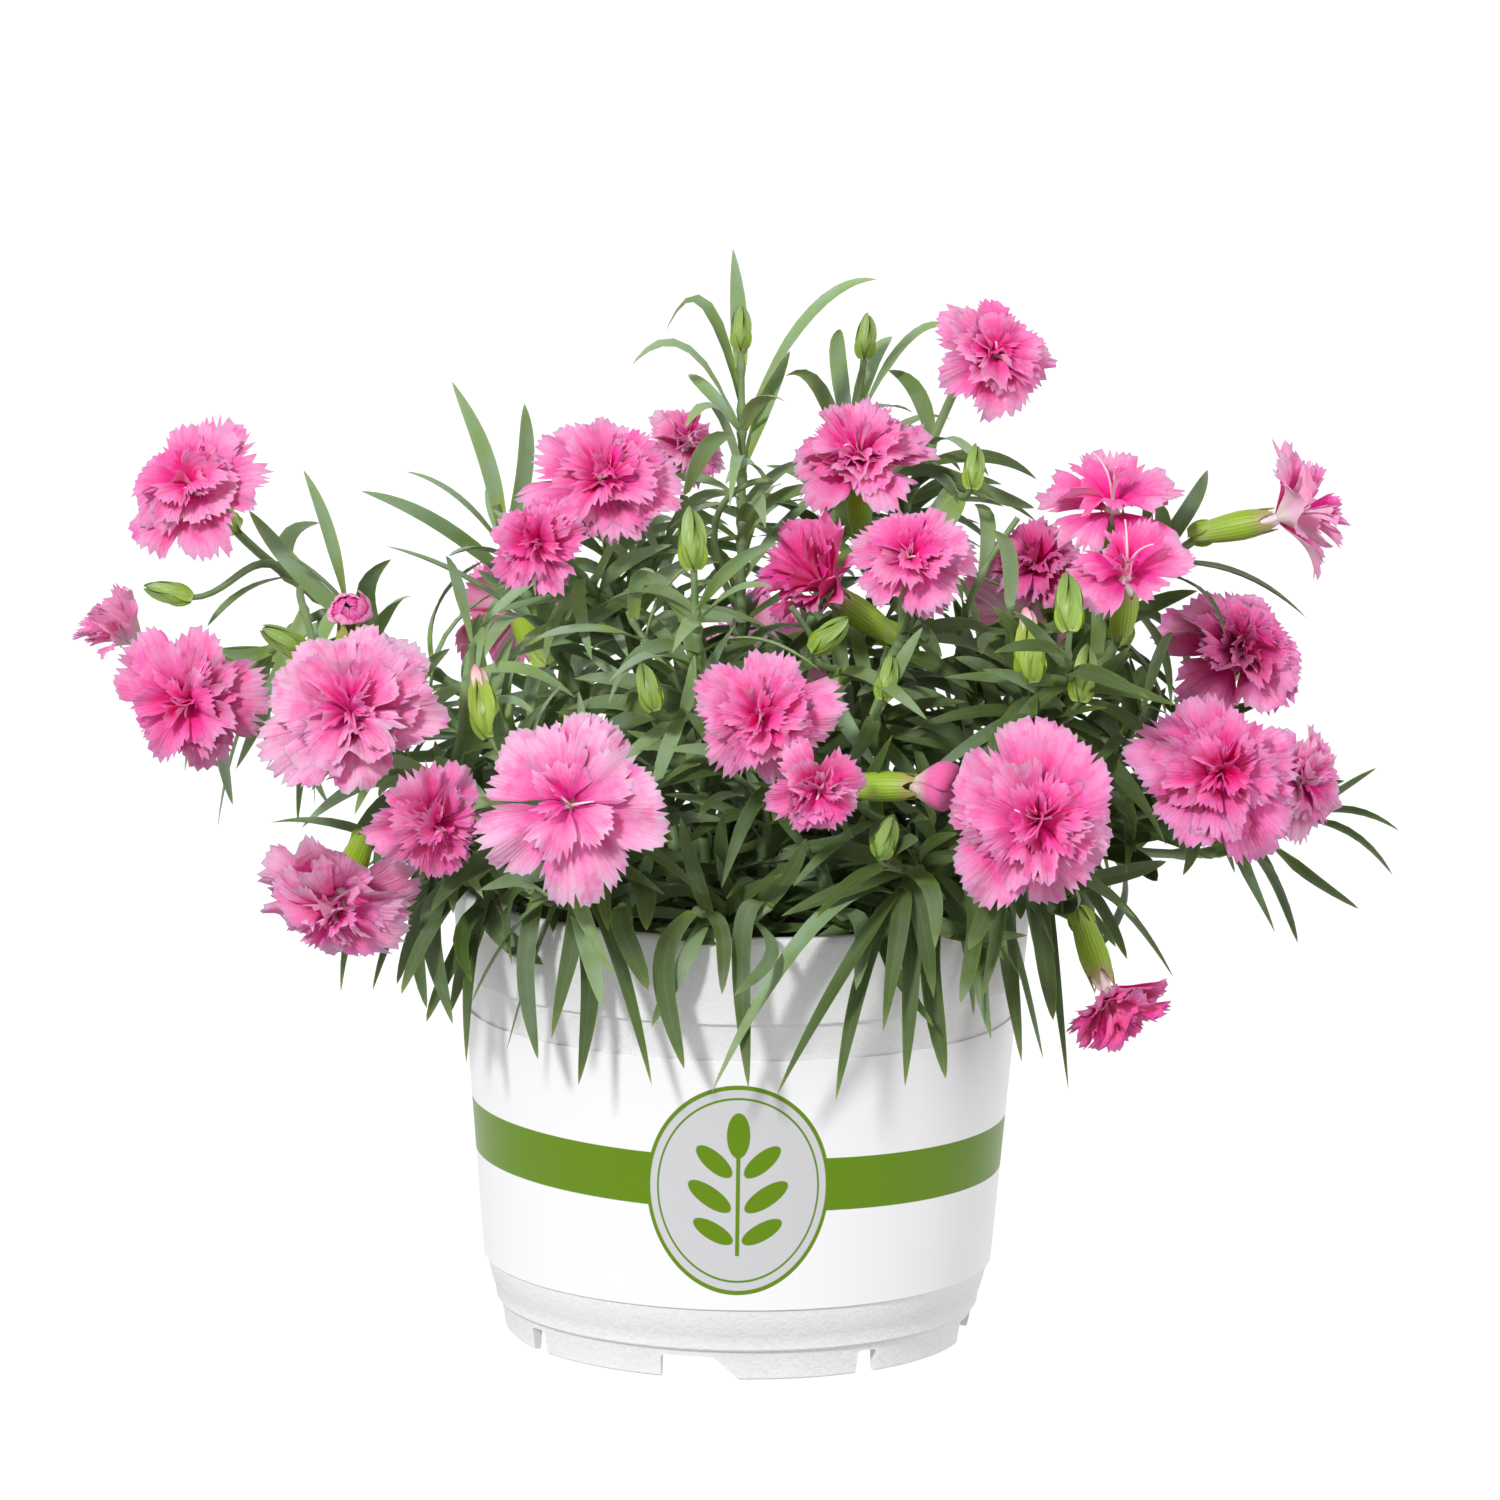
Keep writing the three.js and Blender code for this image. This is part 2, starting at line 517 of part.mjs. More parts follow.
// A curve as straight runs between knots, with a direction square to it that doesn't twist.
function jointedPath(curve) {
  const runs = Math.max(2, Math.round(curve.getLength() / STEM.run));
  const knots = curve.getPoints(runs);
  const sides = [squareTo(curve.getTangent(0))];
  for (let i = 1; i <= runs; i++) sides.push(squared(sides[i - 1], curve.getTangent(i / runs)));
  return { curve, runs, knots, sides };
}

// The place, direction and side on a path at a share of its length.
function stationAt({ curve, runs, knots, sides }, share, radius) {
  const run = Math.min(runs - 1, Math.floor(share * runs));
  const along = curve.getTangent(share);
  const at = knots[run].clone().lerp(knots[run + 1], share * runs - run);
  return { at, along, side: squared(sides[Math.round(share * runs)], along), radius };
}

// The balls along a stem, then along the calyx or bud at its end.
function stemBalls(path, radius, spec, tip, owner) {
  const steps = Math.ceil(path.curve.getLength() / ROUTE.step);
  const balls = [];
  for (let i = 0; i <= steps; i++) {
    balls.push({ at: stationAt(path, i / steps).at, radius: radius + LEAF.room, owner });
  }
  const body = spec.bloom ? CALYX.length + 1 : spec.bud ? BUD.length * tip.size : 0;
  for (let along = ROUTE.step; along < body; along += ROUTE.step) {
    const at = tip.end.clone().addScaledVector(tip.front, along);
    balls.push({ at, radius: CALYX.mouth + LEAF.room, owner });
  }
  return balls;
}

// A stem or fork on the first route that is clear of all others, routes getting looser by the try.
function routeStem(spec, start, rising, rise, radius, owner, seed) {
  const tip = tipOf(spec);
  const draw = dice(seed);
  let best = null;
  for (let attempt = 0; attempt < ROUTE.tries; attempt++) {
    const loose = attempt * ROUTE.loosen;
    const path = jointedPath(pathBetween(start, rising, tip.end, tip.front, rise, draw, loose));
    const balls = stemBalls(path, radius, spec, tip, owner);
    const above = balls.filter(({ at }) => at.z > SOIL.edge + ROUTE.freeAbove);
    const blocked = above.filter((ball) => touches(ball, spec.bloom));
    if (!best || blocked.length < best.blocked) best = { path, balls, blocked: blocked.length };
    if (best.blocked === 0) break;
  }
  best.balls.forEach(claim);
  return { ...best.path, spec, tip, radius, owner };
}

// A branch: a tube along its path, thinner towards the end, then its calyx or bud.
function branchSolid(branch, buried) {
  const { spec, tip, runs, knots, radius } = branch;
  const stations = [];
  if (buried) stations.push({ ...stationAt(branch, 0, radius), at: knots[0].clone().setZ(STEM.buried) });
  for (let i = 0; i <= runs; i++) {
    stations.push(stationAt(branch, i / runs, radius * blend(1, STEM.taper, i / runs)));
  }
  const end = stations[stations.length - 1];
  const along = tip.front ?? end.along;
  const side = squared(end.side, along);
  const beyond = (distance, size) => ({
    at: tip.end.clone().addScaledVector(along, distance), along, side, radius: size,
  });
  if (spec.bloom) {
    stations.push(beyond(CALYX.rootAt, CALYX.root), beyond(CALYX.bellyAt, CALYX.belly));
    return tube(stations, STEM.sides, beyond(CALYX.length, 0).at);
  }
  if (!spec.bud) return tube([...stations, beyond(STEM.tip, 0)], STEM.sides, null);
  for (const [share, thick] of BUD.outline) {
    stations.push(beyond(share * BUD.length * tip.size, thick * BUD.belly * tip.size));
  }
  return tube(stations, STEM.sides, null);
}

// ---------------------------------------------------------------- leaves
// A leaf is given by its base on the stem's axis, the place that its curve bends towards, and its tip.
// Its stations hold a place along it and a share of its full width.
const LEAF_STATIONS = {
  plain: [[0.42, 1]],
  arched: [[0.15, 0.85], [0.5, 1], [0.8, 0.65]],
};
const bezier = (leaf, t) => new THREE.QuadraticBezierCurve3(leaf.base, leaf.bend, leaf.tip).getPoint(t);

function leafSide({ base, bend, tip }) {
  const side = bend.clone().sub(base).cross(tip.clone().sub(base));
  const straight = side.length() < 0.03 * base.distanceToSquared(tip);
  return straight ? squareTo(tip.clone().sub(base).normalize()) : side.normalize();
}

function leafBalls(leaf, owner) {
  const balls = [];
  const steps = Math.ceil(leaf.base.distanceTo(leaf.tip) / 1.8);
  for (let i = 1; i <= steps; i++) {
    const t = i / steps;
    const half = (leaf.width / 2) * Math.min(1, 2.4 * (1 - t) + 0.25);
    const free = leaf.base.distanceTo(bezier(leaf, t)) > LEAF.rootRoom;
    balls.push({ at: bezier(leaf, t), radius: half + LEAF.room, owner, leaf: free ? leaf : null });
  }
  return balls;
}

// A thin blade with a flat face above and a keel below, pointed at both ends.
function leafSolid(leaf) {
  const shape = LEAF_STATIONS[leaf.arched ? 'arched' : 'plain'];
  const side = leafSide(leaf);
  const curve = new THREE.QuadraticBezierCurve3(leaf.base, leaf.bend, leaf.tip);
  const corners = [leaf.base];
  const faces = [];
  shape.forEach(([t, share], i) => {
    const at = curve.getPoint(t);
    const below = side.clone().cross(curve.getTangent(t)).normalize();
    const half = (leaf.width / 2) * share;
    corners.push(at.clone().addScaledVector(side, -half), at.clone().addScaledVector(side, half));
    corners.push(at.clone().addScaledVector(below, LEAF.thickness * Math.min(1, share + 0.1)));
    const [left, right, keel] = [1 + 3 * i, 2 + 3 * i, 3 + 3 * i];
    if (i === 0) {
      faces.push([right, left, 0], [keel, right, 0], [left, keel, 0]);
      return;
    }
    const [left0, right0, keel0] = [left - 3, right - 3, keel - 3];
    faces.push([left0, right0, right], [left0, right, left], [right0, keel0, keel]);
    faces.push([right0, keel, right], [keel0, left0, left], [keel0, left, keel]);
  });
  const tip = corners.push(leaf.tip) - 1;
  const [left, right, keel] = [tip - 3, tip - 2, tip - 1];
  faces.push([left, right, tip], [right, keel, tip], [keel, left, tip]);
  return solidFrom(corners, faces);
}

// A leaf to a given tip that arches upwards by the given height.
function leafTo(branch, place, tip, arch) {
  const base = stationAt(branch, place).at;
  const end = point(tip);
  const bend = base.clone().lerp(end, 0.5).addScaledVector(UP, 2 * arch);
  return { base, bend, tip: end, width: LEAF.width, arched: true };
}

// A leaf of a pair: it leaves the stem at an angle, on the given bearing round it, and droops.
function leafFrom(branch, place, bearing, draw, shrink) {
  const { at: base, along, side } = stationAt(branch, place);
  const across = along.clone().cross(side);
  const turn = bearing + radians(draw(-PAIRS.sway, PAIRS.sway));
  const out = side.multiplyScalar(Math.cos(turn)).addScaledVector(across, Math.sin(turn));
  const length = draw(...PAIRS.length) * shrink;
  const open = radians(draw(...PAIRS.open));
  const opened = open + radians(draw(...PAIRS.opening));
  const reach = (share, angle) => base.clone().addScaledVector(along, length * share * Math.cos(angle))
    .addScaledVector(out, length * share * Math.sin(angle));
  const bend = reach(PAIRS.bendAt, open);
  const tip = reach(PAIRS.tipAt, opened).addScaledVector(UP, -length * draw(0, PAIRS.droop));
  return { base, bend, tip, width: LEAF.width * draw(...PAIRS.width) };
}

// Tries a leaf and keeps it if it is clear of everything on other stems.
function keepLeaf(leaf, owner, leaves) {
  const balls = leafBalls(leaf, owner);
  if (!isClear(balls)) return false;
  balls.forEach(claim);
  leaves.push(leaf);
  return true;
}

function longLeaves(branch, name, owner, leaves) {
  for (const [place, tip, arch] of LONG_LEAVES[name]) {
    LEAF.lifts.some((lift) => keepLeaf(leafTo(branch, place, tip, arch + lift), owner, leaves));
  }
}

function skirtLeaves(branch, count, owner, leaves, draw) {
  const [x, y] = branch.spec.tip;
  for (let i = 0; i < count; i++) {
    const sway = draw(-SKIRT.sway, SKIRT.sway);
    const bearing = Math.atan2(y, x) + radians(SKIRT.step * (i - (count - 1) / 2) + sway);
    const out = draw(...SKIRT.radius);
    const tip = [Math.cos(bearing) * out, Math.sin(bearing) * out, draw(...SKIRT.height)];
    keepLeaf(leafTo(branch, 1 - 0.1 * (i % 2), tip, SKIRT.arch), owner, leaves);
  }
}

function pairedLeaves(branch, from, to, pairs, owner, leaves, draw) {
  for (let i = 0; i < pairs; i++) {
    const place = blend(from, to, pairs === 1 ? 0.5 : i / (pairs - 1));
    const bearing = Math.PI / 4 + (i % 2) * (Math.PI / 2);
    for (const opposite of [0, Math.PI]) {
      for (let attempt = 0; attempt < LEAF.tries; attempt++) {
        const leaf = leafFrom(branch, place, bearing + opposite, draw, blend(...PAIRS.shrink, place));
        if (keepLeaf(leaf, owner, leaves)) break;
      }
    }
  }
}

// ---------------------------------------------------------------- the plant's stems, then their leaves
const stems = Object.entries(STEMS).map(([name, spec], index) => {
  const start = new THREE.Vector3(...spec.root, STEM.start);
  const main = routeStem(spec, start, UP, spec.rise, STEM.radius, name, SEED.stems + index);
  return { name, spec, main, index };
});

for (const stem of stems) {
  stem.forks = (stem.spec.forks ?? []).map((fork, i) => {
    const { at: start, along: rising } = stationAt(stem.main, fork.at);
    const seed = SEED.forks + stem.index * SEED.forksPerStem + i;
    return routeStem(fork, start, rising, ROUTE.bend, STEM.fork, stem.name, seed);
  });
}

for (const stem of stems) {
  stem.leaves = [];
  for (const branch of [stem.main, ...stem.forks]) {
    if (branch.spec.leafy) longLeaves(branch, branch.spec.leafy, stem.name, stem.leaves);
  }
}

for (const stem of stems) {
  const draw = dice(SEED.leaves + stem.index);
  for (const fork of stem.forks) {
    if (fork.spec.skirt) skirtLeaves(fork, fork.spec.skirt, stem.name, stem.leaves, draw);
  }
  pairedLeaves(stem.main, PAIRS.first, PAIRS.last, stem.spec.pairs, stem.name, stem.leaves, draw);
  for (const fork of stem.forks) {
    if (fork.curve.getLength() < PAIRS.shortest) continue;
    pairedLeaves(fork, PAIRS.onFork, PAIRS.onFork, 1, stem.name, stem.leaves, draw);
  }
}

function stemSolid({ main, forks, leaves }) {
  const parts = [branchSolid(main, true), ...forks.map((fork) => branchSolid(fork, false))];
  return wholeBody(joined([...parts, ...leaves.map(leafSolid)]));
}

// ---------------------------------------------------------------- blooms
// A bloom is one thin-walled body: whorl above whorl of petals round a slender stalk. A petal's edge
// is a row of teeth, and its face has an inner point, alike above and below.
function bloomSolid(whorls) {
  const corners = [[0, 0, HUB.foot]].map(point);
  const faces = [];
  const add = (corner) => corners.push(corner) - 1;
  const around = (radius, angle, z) => add(point([radius * Math.cos(angle), radius * Math.sin(angle), z]));
  const place = (petal, out, swing, thick) => {
    const angle = petal.turn + swing * petal.spread;
    const reach = petal.length * out;
    const lift = thick + petal.wave * reach * out * Math.sin(swing * 1.5 * Math.PI + petal.phase);
    const flat = reach * Math.cos(petal.tilt) - lift * Math.sin(petal.tilt);
    return around(flat, angle, petal.foot + reach * Math.sin(petal.tilt) + lift * Math.cos(petal.tilt));
  };
  const partingsOf = (petals) => petals.map((petal) => {
    const rise = Math.tan(Math.min(petal.tilt, HUB.steepest));
    return around(HUB.radius, petal.turn - petal.half, petal.foot + HUB.radius * rise);
  });
  const outlineOf = (petal) => {
    const left = place(petal, PETAL.mid, -1, 0);
    const rim = [];
    for (let i = 0; i <= petal.points; i++) {
      const swing = (2 * i) / petal.points - 1;
      const notch = i % 2 ? 0 : PETAL.notch;
      rim.push(place(petal, 1 - notch - PETAL.round * swing * swing, swing * 0.96, 0));
    }
    return { left, rim, right: place(petal, PETAL.mid, 1, 0) };
  };
  // One side of a whorl, hung from a single corner or from a ring of the stalk.
  const side = (petals, partings, outlines, hub, face) => {
    const push = (a, b, c) => faces.push(face > 0 ? [a, b, c] : [a, c, b]);
    petals.forEach((petal, i) => {
      const { left, right, rim } = outlines[i];
      const next = (i + 1) % petals.length;
      const [from, to] = [partings[i], partings[next]];
      const middle = place(petal, PETAL.mid, 0, (face * PETAL.thickness) / 2);
      const [hubFrom, hubTo] = hub.length > 1 ? [hub[i], hub[next]] : [hub[0], hub[0]];
      if (hub.length > 1) push(hubFrom, hubTo, middle);
      push(hubTo, to, middle);
      push(hubFrom, middle, from);
      push(from, middle, left);
      push(to, right, middle);
      push(left, middle, rim[0]);
      for (let j = 0; j < petal.points; j++) push(middle, rim[j + 1], rim[j]);
      push(middle, right, rim[petal.points]);
    });
  };
  let hub = whorls[0].map((petal) => around(HUB.neck, petal.turn - petal.half, petal.foot - HUB.drop));
  hub.forEach((corner, i) => faces.push([0, corner, hub[(i + 1) % hub.length]]));
  whorls.forEach((petals, whorl) => {
    const partings = partingsOf(petals);
    const outlines = petals.map(outlineOf);
    side(petals, partings, outlines, hub, -1);
    const top = petals[0].foot + HUB.step;
    const last = whorl === whorls.length - 1;
    hub = last ? [around(0, 0, top)] : petals.map((petal) => around(HUB.neck, petal.turn - petal.half, top));
    side(petals, partings, outlines, hub, 1);
  });
  return solidFrom(corners, faces);
}

// The whorls of a bloom, from the outside in. All have the same number of petals, each whorl turned
// so that its petals stand between those below.
function whorlsOf({ form, radius }, draw) {
  const start = draw(0, 2 * Math.PI);
  return WHORLS[form].map(({ tilt, reach, spread, points, wave }, whorl) => {
    const petals = [];
    for (let i = 0; i < HUB.petals; i++) {
      petals.push({
        turn: start + ((i + whorl * 0.5) * 2 * Math.PI) / HUB.petals + radians(draw(-2, 2)),
        half: Math.PI / HUB.petals,
        tilt: radians(tilt + draw(-6, 6)),
        length: radius * reach * draw(0.9, 1.02),
        foot: HUB.low + whorl * HUB.step,
        spread: radians(spread),
        points,
        wave,
        phase: draw(0, 2 * Math.PI),
      });
    }
    return petals;
  });
}

// Cuts a bloom back from each neighbour that it would reach into.
function cutBack(solid, head) {
  const turnBack = head.placing.clone().invert();
  let cut = solid;
  for (const other of heads) {
    const away = head.at.clone().sub(other.at);
    const distance = away.length();
    if (other === head || distance > head.radius + other.radius + 2) continue;
    const share = (distance * head.radius) / (head.radius + other.radius);
    const normal = away.normalize().applyQuaternion(turnBack);
    cut = cut.trimByPlane(normal.toArray(), -share + GAP / 2);
  }
  return cut;
}

function bloomMesh(head, index) {
  const draw = dice(SEED.blooms + index);
  head.placing = new THREE.Quaternion().setFromUnitVectors(UP, head.front);
  const solid = bloomSolid(whorlsOf(head, draw));
  const mesh = meshOf(`bloom_${head.name}`, wholeBody(cutBack(solid, head)), petalMaterial(head));
  mesh.position.copy(head.at);
  mesh.quaternion.copy(head.placing);
  return mesh;
}

// ---------------------------------------------------------------- materials and the whole plant
const plastic = new THREE.MeshStandardMaterial({ color: 0xf1f2f2, roughness: 0.5, metalness: 0 });
const film = new THREE.MeshStandardMaterial({ color: 0xfafafa, roughness: 0.3, metalness: 0 });
const peat = new THREE.MeshStandardMaterial({ color: 0x2b211a, roughness: 1, metalness: 0 });
const foliage = new THREE.MeshStandardMaterial({ color: 0x5c8569, roughness: 0.6, metalness: 0 });
const palePink = new THREE.MeshStandardMaterial({ color: 0xf08fbc, roughness: 0.65, metalness: 0 });
const deepPink = new THREE.MeshStandardMaterial({ color: 0xd65a9c, roughness: 0.65, metalness: 0 });
const petalMaterial = ({ form }) => (['full', 'open'].includes(form) ? palePink : deepPink);

const plant = new THREE.Group();
plant.add(meshOf('pot', pot(), plastic));
plant.add(meshOf('label_sleeve', sleeve(), film));
plant.add(meshOf('soil', soil(), peat));
stems.forEach((stem) => plant.add(meshOf(`stem_${stem.name}`, stemSolid(stem), foliage)));
heads.forEach((head, index) => plant.add(bloomMesh(head, index)));

export default plant;
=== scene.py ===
"""A flowering dianthus in its nursery pot: pot, printed sleeve, soil, leafy stems and pink blooms."""
import math

import bmesh
import bpy
import numpy as np
from mathutils import Matrix, Vector


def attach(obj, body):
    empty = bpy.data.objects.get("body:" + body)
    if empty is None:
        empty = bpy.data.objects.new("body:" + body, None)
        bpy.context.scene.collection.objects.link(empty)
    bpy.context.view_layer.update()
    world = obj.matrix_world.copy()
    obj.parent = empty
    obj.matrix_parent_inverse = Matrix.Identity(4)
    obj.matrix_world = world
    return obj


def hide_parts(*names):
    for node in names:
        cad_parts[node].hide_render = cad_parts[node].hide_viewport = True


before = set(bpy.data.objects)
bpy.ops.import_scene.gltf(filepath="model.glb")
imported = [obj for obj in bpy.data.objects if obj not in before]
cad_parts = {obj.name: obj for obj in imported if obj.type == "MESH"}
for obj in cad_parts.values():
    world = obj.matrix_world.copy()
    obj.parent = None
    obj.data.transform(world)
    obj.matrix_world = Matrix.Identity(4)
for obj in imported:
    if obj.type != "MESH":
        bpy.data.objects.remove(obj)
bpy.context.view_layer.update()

# ---------------------------------------------------------------- camera
# The camera stands in front of the pot and a little above it, about two metres off, with a long
# lens. Its picture is square, and leans a little because the camera was held a little askew.
CAMERA_AIM = Vector((0.0013, 0.0, 0.1317))
CAMERA_DISTANCE = 2.2
CAMERA_RISE = math.radians(10.5)
CAMERA_LEAN = math.radians(0.8)
CAMERA_LENS = 236.4


def build_camera():
    forward = Vector((0, math.cos(CAMERA_RISE), -math.sin(CAMERA_RISE)))
    level = Vector((1, 0, 0))
    upright = level.cross(forward)
    right = level * math.cos(CAMERA_LEAN) + upright * math.sin(CAMERA_LEAN)
    above = upright * math.cos(CAMERA_LEAN) - level * math.sin(CAMERA_LEAN)
    place = CAMERA_AIM - forward * CAMERA_DISTANCE
    camera = bpy.data.objects.new("camera", bpy.data.cameras.new("camera"))
    camera.data.lens = CAMERA_LENS
    camera.data.sensor_width = 36
    camera.data.clip_end = 20
    axes = Matrix((right, above, -forward)).transposed()
    camera.matrix_world = Matrix.Translation(place) @ axes.to_4x4()
    bpy.context.scene.collection.objects.link(camera)
    bpy.context.scene.camera = camera


build_camera()

# ---------------------------------------------------------------- pot
# A tapered nursery pot, injection-moulded from white polypropylene, with a flared lip, a stepped
# shoulder and a skirt with drainage notches. The wall that the sleeve leaves bare is finely grained.
MM = 0.001
POT_SIDES = 192
POT_WALL = 1.6
POT_FLOOR = 8
POT_FOOT = 52
POT_LIP = 65
POT_TOP = 102
INSIDE_FOOT = (53.2, POT_FLOOR + POT_WALL)
INSIDE_TOP = (61.6, 98)
POT_OUTLINE = [
    (0, POT_FLOOR), (49.6, POT_FLOOR), (50.0, 7.7), (50.5, 0.35), (50.8, 0), (51.7, 0), (52.05, 0.3),
    (53.0, 6.2), (53.2, 6.6), (53.9, 6.9), (54.2, 7.3), (54.5, 10.0), (54.9, 10.6), (56.45, 16.3),
    (56.5, 16.6), (61.2, 74.3), (61.3, 74.6), (62.2, 81.7), (62.35, 82.0), (63.1, 82.3), (63.3, 82.6),
    (64.85, 99.6), (65.0, 100.2), (64.95, 101.2), (64.6, 101.8), (64.1, 102), (63.3, 102),
    (62.9, 101.8), (62.65, 101.3), INSIDE_TOP, INSIDE_FOOT, (52.9, 9.7), (0, POT_FLOOR + POT_WALL),
]
NOTCH_COUNT = 8
NOTCH_FIRST = -101.5
NOTCH_HEIGHT = 5.2
NOTCH_WIDE = 12.5
NOTCH_NARROW = 5
NOTCH_SLOPE = 6
DRAIN_COUNT = 4
DRAIN_RADIUS = 4.5
DRAIN_RING = 34
PLASTIC_WHITE = (0.88, 0.88, 0.885, 1)
PLASTIC_SHADE = (0.74, 0.74, 0.75, 1)


def body_mesh(name, corners, faces, smooth=True):
    """A mesh object from corners in millimetres and faces."""
    mesh = bpy.data.meshes.new(name)
    mesh.from_pydata([tuple(c * MM for c in corner) for corner in corners], [], faces)
    mesh.validate()
    mesh.shade_smooth() if smooth else mesh.shade_flat()
    piece = bpy.data.objects.new(name, mesh)
    bpy.context.scene.collection.objects.link(piece)
    return piece


def turned(name, outline, sides):
    """A body turned about the pot's axis from an outline that closes on the axis or on itself."""
    rings = []
    corners = []
    faces = []
    for radius, height in outline:
        if radius == 0:
            rings.append([len(corners)] * sides)
            corners.append((0, 0, height))
            continue
        rings.append(list(range(len(corners), len(corners) + sides)))
        angles = [2 * math.pi * i / sides for i in range(sides)]
        corners.extend((radius * math.cos(a), radius * math.sin(a), height) for a in angles)
    for low, high in zip(rings, rings[1:] + ([rings[0]] if outline[0][0] else [])):
        for i in range(sides):
            j = (i + 1) % sides
            loop = [low[i], low[j], high[j], high[i]]
            faces.append(list(dict.fromkeys(loop)))
    return body_mesh(name, corners, [f for f in faces if len(f) > 2])


def cut_away(piece, cutters):
    """Cuts each cutter out of the piece and keeps the result as the piece's mesh."""
    for cutter in cutters:
        cut = piece.modifiers.new("cut", "BOOLEAN")
        cut.operation = "DIFFERENCE"
        cut.solver = "EXACT"
        cut.object = cutter
    depsgraph = bpy.context.evaluated_depsgraph_get()
    made = bpy.data.meshes.new_from_object(piece.evaluated_get(depsgraph))
    piece.modifiers.clear()
    piece.data = made
    for cutter in cutters:
        bpy.data.objects.remove(cutter)


def notch_cutter(index):
    narrow = index % 2 == 1
    half = (NOTCH_NARROW if narrow else NOTCH_WIDE) / 2
    slope = 0 if narrow else NOTCH_SLOPE
    outline = [(-half, -1), (half + slope, -1), (half, NOTCH_HEIGHT - 0.6), (half - 0.6, NOTCH_HEIGHT),
               (0.6 - half, NOTCH_HEIGHT), (-half, NOTCH_HEIGHT - 0.6)]
    turn = math.radians(NOTCH_FIRST + 90 + index * 360 / NOTCH_COUNT)
    corners = []
    for depth in (POT_FOOT - 6, POT_FOOT + 4):
        for x, z in outline:
            corners.append((x * math.cos(turn) + depth * math.sin(turn),
                            x * math.sin(turn) - depth * math.cos(turn), z))
    count = len(outline)
    sides = [[i, (i + 1) % count, (i + 1) % count + count, i + count] for i in range(count)]
    faces = [list(range(count))[::-1], list(range(count, 2 * count))] + sides
    return body_mesh(f"notch_{index}", corners, faces, smooth=False)


def drain_cutter(index):
    turn = math.radians(45 + index * 360 / DRAIN_COUNT)
    cutter = turned(f"drain_{index}", [(0, POT_FLOOR - 2), (DRAIN_RADIUS, POT_FLOOR - 2),
                                       (DRAIN_RADIUS, POT_FLOOR + 4), (0, POT_FLOOR + 4)], 24)
    cutter.data.transform(Matrix.Translation(
        (DRAIN_RING * MM * math.cos(turn), DRAIN_RING * MM * math.sin(turn), 0)))
    return cutter


def add_node(tree, kind, inputs=None, **settings):
    """A shader node; each input is a number, a colour or another node's output."""
    made = tree.nodes.new("ShaderNode" + kind)
    for name, value in settings.items():
        setattr(made, name, value)
    for name, value in (inputs or {}).items():
        if isinstance(value, bpy.types.NodeSocket):
            tree.links.new(value, made.inputs[name])
        else:
            made.inputs[name].default_value = value
    return made


def new_finish(name, roughness, **fixed):
    """A material with its shader; what is the same all over is set on the shader's own sockets."""
    finish = bpy.data.materials.new(name)
    finish.use_nodes = True
    shader = finish.node_tree.nodes["Principled BSDF"]
    shader.inputs["Roughness"].default_value = roughness
    for socket, value in fixed.items():
        shader.inputs[socket.replace("_", " ")].default_value = value
    return finish, finish.node_tree, shader


def colour(red, green, blue):
    """A screen colour, 0 to 255, as the shader's own numbers."""
    def linear(value):
        share = value / 255
        return share / 12.92 if share <= 0.04045 else ((share + 0.055) / 1.055) ** 2.4
    return (linear(red), linear(green), linear(blue), 1)


def arithmetic(tree, operation, first, second=0.0):
    return add_node(tree, "Math", {0: first, 1: second}, operation=operation).outputs[0]


def product(tree, first, second):
    return arithmetic(tree, "MULTIPLY", first, second)


def summed(tree, first, second):
    return arithmetic(tree, "ADD", first, second)


def difference(tree, first, second):
    return arithmetic(tree, "SUBTRACT", first, second)


def blended(tree, share, first, second):
    return add_node(tree, "Mix", {0: share, 6: first, 7: second}, data_type="RGBA").outputs[2]


def graded(tree, share, stops):
    """The colour or grey at a share between stops of place and colour."""
    made = add_node(tree, "ValToRGB", {0: share})
    elements = made.color_ramp.elements
    while len(elements) < len(stops):
        elements.new(0.5)
    for element, (place, value) in zip(elements, stops):
        element.position = place
        element.color = value if isinstance(value, tuple) else (value, value, value, 1)
    return made.outputs[0]


def own_place(tree):
    """The place of each point in its piece's own frame."""
    return add_node(tree, "TexCoord").outputs["Object"]


def noise_at(tree, scale, where, detail, roughness=0.5):
    inputs = {"Vector": where, "Scale": scale, "Detail": detail, "Roughness": roughness}
    return add_node(tree, "TexNoise", inputs).outputs[0]


def bumped(tree, shader, height, strength, distance):
    made = add_node(tree, "Bump", {"Height": height, "Strength": strength, "Distance": distance})
    tree.links.new(made.outputs[0], shader.inputs["Normal"])


def pot_plastic():
    finish, tree, shader = new_finish("pot_plastic", 0.45, IOR=1.49, Specular_IOR_Level=0.35,
                                      Subsurface_Weight=0.05, Subsurface_Radius=(0.003, 0.003, 0.003))
    where = own_place(tree)
    grain = noise_at(tree, 950, where, detail=3, roughness=0.65)
    cloud = noise_at(tree, 60, where, detail=2)
    pits = graded(tree, grain, [(0.36, 1.0), (0.52, 0.0)])
    shade = summed(tree, product(tree, cloud, 0.35), product(tree, pits, 0.3))
    tree.links.new(blended(tree, shade, PLASTIC_WHITE, PLASTIC_SHADE), shader.inputs["Base Color"])
    rough = summed(tree, product(tree, grain, 0.25), 0.35)
    tree.links.new(rough, shader.inputs["Roughness"])
    bumped(tree, shader, grain, 0.75, 0.0003)
    return finish


def finish_piece(piece, finishes, slot, *nodes):
    """Gives a piece its materials and body, and the solids that it stands for; the slot is not used."""
    for finish in finishes:
        piece.data.materials.append(finish)
    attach(piece, "root")
    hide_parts(*nodes)
    return piece


